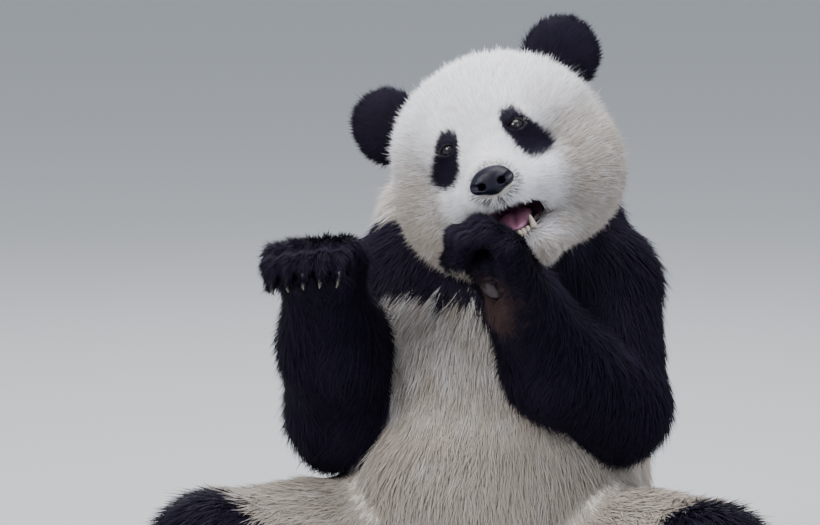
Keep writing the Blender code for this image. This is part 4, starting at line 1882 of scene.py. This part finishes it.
    def unwrapped(self, places: Array) -> Array:
        """Places on the skin unwrapped to a square: the way from their middle, on an octahedron.

        Args:
            places: Places, (n, 3).

        Returns:
            Spots in the square, (n, 2).
        """
        low, high = places.min(axis=0), places.max(axis=0)
        way = (places - (low + high) / 2.0) / np.maximum(high - low, 1e-6)
        way = way / np.maximum(np.abs(way).sum(axis=1, keepdims=True), 1e-9)
        flat = way[:, :2]
        folded = (1.0 - np.abs(flat[:, ::-1])) * np.where(flat >= 0.0, 1.0, -1.0)
        flat = np.where(way[:, 2:] < 0.0, folded, flat)
        return 0.5 + flat * 0.494

    def group(self, roots: Roots) -> dict[str, Array]:
        """The locks of each piece, split in half along its longest side until each is small enough.

        Args:
            roots: Their roots.

        Returns:
            The numbers of its roots, by piece.
        """
        parts = list(self.anatomy.parts.values())
        names = sorted({part.coat.piece for part in parts})
        owner = np.array([names.index(part.coat.piece) for part in parts])
        piece = owner[roots.shares.argmax(axis=1)]
        found = {}
        waiting = [(name, np.flatnonzero(piece == number)) for number, name in enumerate(names)]
        while waiting:
            name, rows = waiting.pop()
            if len(rows) <= self.most:
                found[name] = rows
                continue
            spread = np.ptp(roots.places[rows], axis=0)
            values = roots.places[rows, spread.argmax()]
            half = np.median(values)
            waiting.append((name + "_a", rows[values < half]))
            waiting.append((name + "_b", rows[values >= half]))
        return dict(sorted(found.items()))

    def facts(self, roots: Roots) -> dict[str, Array]:
        """How black, stained and light each lock is, from 0 to 1; the buff staining holds painted shade too.

        Args:
            roots: Their roots.

        Returns:
            A number for each lock, by name.
        """
        source = np.random.default_rng(SEED + 1)
        black = self.anatomy.blackness(roots.places, roots.shares)
        sooty = source.random(len(black)) < self.anatomy.soot(roots.places)
        stain = self.anatomy.stain(roots.places, roots.shares, black)
        black = np.maximum(black, 0.8 * sooty)
        shade = source.normal(*self.shades, len(black)) + 0.2 * ripple(roots.places, 0.025, 31)[:, 0]
        return {"black": black, "stain": stain, "shade": np.clip(shade, 0.0, 1.0)}

    def unwrap(self, piece: Piece, places: Array, faces: Array) -> None:
        """Gives each lock a small kite of its own on the piece's map, for its colours to be baked in.

        Args:
            piece: The piece of the coat.
            places: Its locks' roots.
            faces: Its triangles.
        """
        offsets = np.array(((-0.3, 0.5), (-0.5, 0.0), (-0.3, -0.5), (0.5, 0.0))) * self.patch
        spots = (self.unwrapped(places)[:, None] + offsets).reshape(-1, 2)
        layer = piece.data.uv_layers.new(name="OFBake")
        layer.uv.foreach_set("vector", spots[faces.ravel()].astype(np.float32).ravel())

    def build(self, material: Material) -> list[Piece]:
        """Makes every piece of the coat.

        Args:
            material: Its finish.

        Returns:
            The pieces.
        """
        roots = self.roots()
        facts = self.facts(roots)
        pieces = []
        for name, rows in self.group(roots).items():
            corners, normals = self.lock_corners(roots.only(rows))
            faces = self.lock_faces(corners)
            piece = new_piece(f"coat_{name}", corners.reshape(-1, 3), faces, material)
            piece.data.normals_split_custom_set_from_vertices(normals.reshape(-1, 3).astype(np.float32))
            # along is 0 at a lock's root and 1 at its tip; the coat's finish turns it into painted shade at
            # the roots
            mark(piece, along=np.tile((0.0, 0.0, 0.0, 1.0), len(rows)))
            mark(piece, **{fact: np.repeat(values[rows], 4) for fact, values in facts.items()})
            self.unwrap(piece, roots.places[rows], faces)
            pieces.append(piece)
        log.info("coat: %d locks in all", len(roots.places))
        return pieces


# --- Face pieces ---


@dataclass
class Eyes:
    """The two eyeballs: a ball with a low cornea, seen through the lids."""

    anatomy: Anatomy
    cornea: float = 0.05
    rows: int = 40
    columns: int = 48

    def build(self, side: Side, material: Material) -> Piece:
        """One eye: R (1 + c exp(-(q / 0.5)^4)) at the angle q from its gaze, turned about the gaze.

        Args:
            side: Which side.
            material: Its finish.

        Returns:
            The eye.
        """
        centre, axes = self.anatomy.eye_frame(side)
        angle, way = ball_ways(self.rows, self.columns, 0.004)
        radius = self.anatomy.eye_radius * (1.0 + self.cornea * np.exp(-((angle / 0.5) ** 4)))
        local = (radius[:, :, None] * way).reshape(-1, 3)
        faces = grid_faces(self.rows, self.columns)
        if np.linalg.det(axes) > 0.0:
            faces = faces[:, ::-1]
        corners = self.anatomy.pose.head.outwards(centre + local @ axes)
        piece = new_piece(f"eyeball_{side}", corners, faces, material)
        mark(piece, ring=np.repeat(angle[:, 0] / (math.pi / 2.0), self.columns))
        return piece


@dataclass
class Nose:
    """The bare nose: a broad pad with comma-shaped nostrils, meshed from a field of its own."""

    anatomy: Anatomy
    cell: float = 0.0009
    low: Triple = (-0.036, -0.212, -0.064)
    high: Triple = (0.036, -0.168, -0.010)
    top: Oval = Oval((0.0, -0.1895, -0.0315), (0.0250, 0.0150, 0.0145))
    lower: Oval = Oval((0.0, -0.1920, -0.0440), (0.0150, 0.0120, 0.0110))
    wings: tuple[Oval, ...] = tuple(mirrored((0.0178, -0.193, -0.0385), (0.0122, 0.0122, 0.0105)))
    groove: Limb = Limb((0.0, -0.2085, -0.0430), (0.0, -0.2050, -0.0600), 0.0014, 0.0014)

    def nostril(self, points: Array, sign: float) -> Array:
        """How far points are outside one nostril: a hole, and a slit that runs out and up from it."""
        hole = Limb((sign * 0.0122, -0.2085, -0.0412), (sign * 0.0145, -0.188, -0.0385), 0.0050, 0.0040)
        slit = Limb((sign * 0.0140, -0.2075, -0.0412), (sign * 0.0290, -0.2000, -0.0352), 0.0042, 0.0038)
        return smooth_min(hole.distance(points), slit.distance(points), 0.004)

    def distance(self, points: Array) -> Array:
        """How far points of the head's frame are outside the nose pad.

        Args:
            points: Places, (n, 3).

        Returns:
            Distances, (n,).
        """
        whole = smooth_min(self.top.distance(points), self.lower.distance(points), 0.008)
        for wing in self.wings:
            whole = smooth_min(whole, wing.distance(points), 0.006)
        for sign in (-1.0, 1.0):
            whole = smooth_max(whole, -self.nostril(points, sign), 0.0022)
        return smooth_max(whole, -self.groove.distance(points), 0.0025)

    def build(self, material: Material) -> Piece:
        """Makes the nose.

        Args:
            material: Its finish.

        Returns:
            The nose.
        """
        low, high = np.array(self.low), np.array(self.high)
        counts = np.round((high - low) / self.cell).astype(int)
        axes = [low[i] + self.cell * np.arange(counts[i]) for i in range(3)]
        points = np.stack(np.meshgrid(*axes, indexing="ij"), axis=-1).reshape(-1, 3)
        corners, quads = zero_surface(self.distance(points).reshape(counts), self.cell, low)
        return new_piece("nose_pad", self.anatomy.pose.head.outwards(corners), quads, material)


@dataclass(frozen=True)
class ToothRow:
    """One jaw's teeth, in the frame of the closed head.

    Attributes:
        gum: Height of the gum line.
        front: Where the middle incisors stand, along Y.
        wide: How far the canines are from the middle.
        reach: The teeth's measure, less than 0 where they point down.
        canine: How far the canines stand out of the gum, as a part of the reach.
    """

    gum: float
    front: float
    wide: float
    reach: float
    canine: float


@dataclass
class Mouth:
    """What the open mouth shows: the teeth of both jaws and the tongue."""

    anatomy: Anatomy
    rings: int = 9
    sides: int = 10
    upper: ToothRow = ToothRow(-0.060, -0.155, 0.0245, -0.017, 1.15)
    lower: ToothRow = ToothRow(-0.084, -0.131, 0.0215, 0.017, 1.1)
    tongue_centre: Triple = (0.0, -0.084, -0.0750)
    tongue_radii: Triple = (0.0215, 0.044, 0.0105)

    def tooth(self, root: Triple, tip: Triple, radius: float, flat: float, blunt: float) -> Mesh:
        """A tooth as a tapering tube of radius r (1 - (1 - blunt) t^2), rounded off at the tip.

        Args:
            root: Where it starts.
            tip: Where it ends.
            radius: Its root's half-width.
            flat: Its depth over its width.
            blunt: Its tip's width over its root's.

        Returns:
            (corners, quads).
        """
        along = np.linspace(0.0, 1.0, self.rings)
        start, end = np.array(root), np.array(tip)
        path = start + (end - start) * along[:, None]
        size = radius * (1.0 - (1.0 - blunt) * along**2)
        rounding = np.clip(1.0 - ((along - 0.86) / 0.142).clip(0.0, 1.0) ** 2, 0.0, 1.0)
        size = size * np.sqrt(rounding) + HIDDEN
        size[0] = HIDDEN
        return tube(path, size, flat, np.array((0.0, 1.0, 0.3)), self.sides)

    def teeth(self, row: ToothRow) -> list[Mesh]:
        """The canines and incisors of one jaw, and three cheek teeth on each side.

        Args:
            row: The jaw's measures.

        Returns:
            The teeth.
        """
        gum, reach = row.gum, row.reach
        shapes = []
        for sign in (-1.0, 1.0):
            back = row.front + 0.012
            root = (sign * row.wide, back, gum - 0.4 * reach)
            tip = (sign * (row.wide + 0.0012), back - 0.006, gum + row.canine * reach)
            shapes.append(self.tooth(root, tip, 0.0052, 0.85, 0.25))
            for cheek in range(3):
                y = back + 0.022 + 0.0125 * cheek
                x = sign * (row.wide + 0.0005 + 0.002 * cheek)
                root, tip = (x, y, gum - 0.3 * reach), (x, y, gum + 0.32 * reach)
                shapes.append(self.tooth(root, tip, 0.0050, 1.1, 0.6))
        for step in (-2.5, -1.5, -0.5, 0.5, 1.5, 2.5):
            across, y = step * 0.0056, row.front + 0.0012 * step * step
            root, tip = (across, y, gum - 0.3 * reach), (across, y - 0.002, gum + 0.34 * reach)
            shapes.append(self.tooth(root, tip, 0.0033, 0.75, 0.85))
        return shapes

    def build_teeth(self, material: Material) -> list[Piece]:
        """Makes the upper and the lower teeth, each as one piece.

        Args:
            material: Their finish.

        Returns:
            The two pieces.
        """
        pose = self.anatomy.pose
        pieces = []
        for name, row, frame in (("upper", self.upper, pose.head), ("lower", self.lower, pose.jaw())):
            shapes = self.teeth(row)
            corners, faces = joined_meshes(shapes)
            piece = new_piece(f"teeth_{name}", frame.outwards(corners), faces, material)
            along = np.repeat(np.linspace(0.0, 1.0, self.rings), self.sides)
            mark(piece, along=smooth_step(0.1, 0.5, np.tile(along, len(shapes))))
            turn_outwards(piece)
            pieces.append(piece)
        return pieces

    def build_tongue(self, material: Material) -> Piece:
        """The tongue: a flat pillow with a shallow furrow down its middle and raised edges.

        Args:
            material: Its finish.

        Returns:
            The tongue.
        """
        corners, faces = dome(Oval((0.0, 0.0, 0.0), (1.0, 1.0, 1.0)), 2.3, 34, 40)
        furrow = 0.22 * np.exp(-((corners[:, 0] / 0.16) ** 2)) * (corners[:, 2] > 0.0)
        cup = 0.30 * corners[:, 0] ** 2 - 0.22 * (corners[:, 1] + 0.2) ** 2
        corners[:, 2] += cup - furrow
        corners = np.array(self.tongue_centre) + corners * np.array(self.tongue_radii)
        return new_piece("tongue_top", self.anatomy.pose.jaw().outwards(corners), faces, material)


# --- Feet ---


@dataclass
class Claws:
    """The twenty claws: tapered arcs, deeper than wide, that leave the tips and bend down."""

    anatomy: Anatomy
    length: float = 0.022
    radius: float = 0.0044
    height: float = 1.25
    bend: float = 66.0
    buried: float = 0.003
    rings: int = 14
    sides: int = 12

    def claw(self, root: Array, forward: Array, down: Array) -> Mesh:
        """One claw on an arc: root + (sin q forward + (1 - cos q) down) L / bend.

        Args:
            root: Where its arc starts.
            forward: The way it sets out.
            down: The way it bends.

        Returns:
            (corners, quads).
        """
        turn = math.radians(self.bend)
        along = np.linspace(-0.12, 1.0, self.rings)
        angle = (along * turn)[:, None]
        path = root + (forward * np.sin(angle) + down * (1.0 - np.cos(angle))) * (self.length / turn)
        taper = np.clip(1.0 - along, 0.0, 1.0) ** 0.62 * (0.92 + 0.08 * np.cos(along * 3.0))
        size = self.radius * taper + HIDDEN
        size[0] = HIDDEN
        return tube(path, size, self.height, -down, self.sides)

    def fore(self, side: Side, number: int) -> tuple[Array, Array, Array]:
        """Where a forepaw's claw leaves its digit, and the ways forwards and down from there.

        Args:
            side: Which side.
            number: Which digit, from the inner one.

        Returns:
            (place, forwards, down).
        """
        pose = self.anatomy.pose
        points = pose.digit(side, number)
        tip = points[3]
        forward = unit(tip - points[2])
        inward = unit(np.array(pose.wrist[side]) - tip)
        down = unit(inward - forward * (inward @ forward))
        return tip + forward * 0.0065 - down * 0.003, forward, down

    def hind(self, side: Side, number: int) -> tuple[Array, Array, Array]:
        """Where a hind foot's claw leaves its toe, and the ways forwards and down from there.

        Args:
            side: Which side.
            number: Which digit, from the inner one.

        Returns:
            (place, forwards, down).
        """
        frame = self.anatomy.pose.sole(side)
        tip = frame.outwards(self.anatomy.pose.toe(number)[1])
        forward = unit(frame.turned(np.array((0.0, -0.45, 1.0))))
        down = unit(frame.turned(np.array((0.0, -1.0, -0.45))))
        return tip + forward * 0.004, forward, down

    def build(self, side: Side, paw: Paw, material: Material) -> Piece:
        """The five claws of one paw as one piece.

        Args:
            side: Which side.
            paw: Which paw.
            material: Their finish.

        Returns:
            The piece.
        """
        root_of = self.fore if paw is Paw.FORE else self.hind
        shapes = []
        for number in DIGITS:
            tip, forward, down = root_of(side, number)
            shapes.append(self.claw(tip - forward * self.buried, forward, down))
        piece = new_piece(f"claws_{paw}_{side}", *joined_meshes(shapes), material)
        along = np.repeat(np.linspace(0.0, 1.0, self.rings), self.sides)
        mark(piece, along=np.tile(along, len(shapes)))
        turn_outwards(piece)
        return piece


@dataclass
class Pads:
    """The bare leathery pads of the hind soles and the left wrist, as full pillows."""

    anatomy: Anatomy
    fullness: float = 2.4

    def pillows(self, pads: list[tuple[Place, Oval]]) -> Mesh:
        """Several pads as one mesh.

        Args:
            pads: The frame and the oval of each.

        Returns:
            The mesh.
        """
        shapes = []
        for frame, oval in pads:
            corners, faces = dome(oval, self.fullness)
            shapes.append((frame.outwards(corners), faces))
        return joined_meshes(shapes)

    def build_sole(self, side: Side, material: Material) -> Piece:
        """One sole's seven pads as one piece."""
        return new_piece(f"pads_{side}", *self.pillows(self.anatomy.sole_pads(side)), material)

    def build_wrist(self, side: Side, material: Material) -> list[Piece]:
        """One wrist's pad, where it has one."""
        pads = self.anatomy.wrist_pads(side)
        return [new_piece(f"pad_wrist_{side}", *self.pillows(pads), material)] if pads else []


# --- Stage ---


@dataclass(frozen=True)
class Lamp:
    """A soft square light: its place, its side's length, its power and its colour."""

    name: str
    place: Triple
    size: float
    power: float
    colour: Triple


@dataclass
class Stage:
    """A plain pale floor, soft lights and the camera, which stands at an angle round the animal."""

    target: Triple = (0.0, 0.0, 0.55)
    azimuth: float = 12.0
    elevation: float = 8.0
    distance: float = 6.0
    span: float = 0.00136
    aside: float = -0.116
    sensor: float = 36.0
    clip_end: float = 120.0
    picture_width: int = 820
    floor_radius: float = 40.0
    floor_sides: int = 96
    floor_colour: Triple = (0.46, 0.47, 0.48)
    chest: Triple = (0.0, -0.05, 0.5)
    lamps: tuple[Lamp, ...] = (
        Lamp("overhead", (0.2, -0.6, 4.2), 3.2, 250.0, (1.0, 0.985, 0.97)),
        Lamp("key", (-2.0, -3.4, 2.8), 1.8, 176.0, (1.0, 0.985, 0.96)),
        Lamp("fill", (3.0, -3.2, 1.6), 2.4, 60.0, (0.88, 0.93, 1.0)),
        Lamp("rim", (-0.8, 2.6, 2.6), 1.6, 45.0, (0.94, 0.96, 1.0)),
    )
    sky: Triple = (0.80, 0.86, 0.95)
    sky_strength: float = 0.84

    def axes(self) -> tuple[Vector, Vector, Vector]:
        """The camera's right, back and up.

        Returns:
            (right, back, up).
        """
        a, e = math.radians(self.azimuth), math.radians(self.elevation)
        right = Vector((math.cos(a), math.sin(a), 0.0))
        back = Vector((math.sin(a) * math.cos(e), -math.cos(a) * math.cos(e), math.sin(e)))
        return right, back, back.cross(right)

    def camera(self) -> None:
        """Makes the camera: a long lens from a little to the animal's left, looking slightly down."""
        right, back, up = self.axes()
        target = Vector(self.target) + right * self.aside
        data = bpy.data.cameras.new("camera")
        data.sensor_width = self.sensor
        data.lens = self.sensor * self.distance / self.span / self.picture_width
        data.clip_end = self.clip_end
        camera = bpy.data.objects.new("camera", data)
        turn = Matrix((right, up, back)).transposed().to_4x4()
        camera.matrix_world = Matrix.Translation(target + back * self.distance) @ turn
        bpy.context.collection.objects.link(camera)
        bpy.context.scene.camera = camera

    def floor(self) -> Piece:
        """The floor: a plain disc, wide enough to reach past the picture from any side.

        Returns:
            The floor.
        """
        count = self.floor_sides
        turn = np.linspace(0.0, 2.0 * math.pi, count, endpoint=False)
        rim = np.stack((np.cos(turn), np.sin(turn), np.zeros_like(turn)), axis=1) * self.floor_radius
        index = np.arange(count)
        faces = np.stack((np.full(count, count), index, (index + 1) % count), axis=1)
        nodes = Nodes("floor")
        nodes.set(Base_Color=(*self.floor_colour, 1.0), Roughness=0.9, Specular_IOR_Level=0.1)
        return new_piece("floor", np.concatenate((rim, np.zeros((1, 3)))), faces, nodes.material)

    def light(self, lamp: Lamp) -> None:
        """Hangs one lamp so that it faces the animal's chest.

        Args:
            lamp: The lamp.
        """
        data = bpy.data.lights.new(lamp.name, "AREA")
        data.size, data.energy, data.color = lamp.size, lamp.power, lamp.colour
        hung = bpy.data.objects.new(lamp.name, data)
        hung.location = lamp.place
        aim = Vector(self.chest) - Vector(lamp.place)
        hung.rotation_euler = aim.to_track_quat("-Z", "Y").to_euler()
        bpy.context.collection.objects.link(hung)

    def build(self) -> None:
        """Makes the whole stage."""
        self.camera()
        self.floor()
        for lamp in self.lamps:
            self.light(lamp)
        world = bpy.data.worlds.new("world")
        world.use_nodes = True
        background = world.node_tree.nodes["Background"]
        background.inputs["Color"].default_value = (*self.sky, 1.0)
        background.inputs["Strength"].default_value = self.sky_strength
        bpy.context.scene.world = world


# --- Assembly ---


def mount(piece: Piece, slot: Slot, *nodes: str) -> None:
    """Lets a piece ride on the body and hides the solids that it stands for.

    Args:
        piece: The piece.
        slot: Its slot; not used.
        nodes: The solids' nodes, if any.
    """
    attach(piece, BODY)
    if nodes:
        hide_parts(*nodes)
    log.info("%s: %d faces", piece.name, len(piece.data.polygons))


def main() -> None:
    """Builds the animal and its stage, piece by piece."""
    logging.basicConfig(level=logging.INFO, format="%(message)s")
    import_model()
    anatomy = Anatomy()
    Stage().build()
    flesh = [name for name in anatomy.parts if name not in ("skull", "muzzle")] + ["shoulders", "head"]
    skin = Skin(anatomy).build(SkinFinish().make())
    mount(skin, Slot.WHITE, *flesh)
    for piece in CoatMaker(anatomy, skin).build(FurFinish().make()):
        mount(piece, Slot.WHITE)
    eyes, claws, pads, mouth = Eyes(anatomy), Claws(anatomy), Pads(anatomy), Mouth(anatomy)
    eye_finish, claw_finish = EyeFinish().make(), HornFinish().make()
    sole_finish = SOLE_LEATHER.make()
    wrist_finish = WRIST_LEATHER.make()
    for side in Side:
        mount(eyes.build(side, eye_finish), Slot.LEATHER, f"eye_{side}")
        for paw in Paw:
            nodes = [f"claw_{paw}_{side}_{number + 1}" for number in DIGITS]
            mount(claws.build(side, paw, claw_finish), Slot.HORN, *nodes)
        mount(pads.build_sole(side, sole_finish), Slot.LEATHER)
        for piece in pads.build_wrist(side, wrist_finish):
            mount(piece, Slot.LEATHER)
    mount(Nose(anatomy).build(LeatherFinish().make()), Slot.LEATHER, "nose")
    for piece in mouth.build_teeth(ToothFinish().make()):
        mount(piece, Slot.HORN)
    mount(mouth.build_tongue(TongueFinish().make()), Slot.PINK, "tongue")


if __name__ == "__main__":
    main()
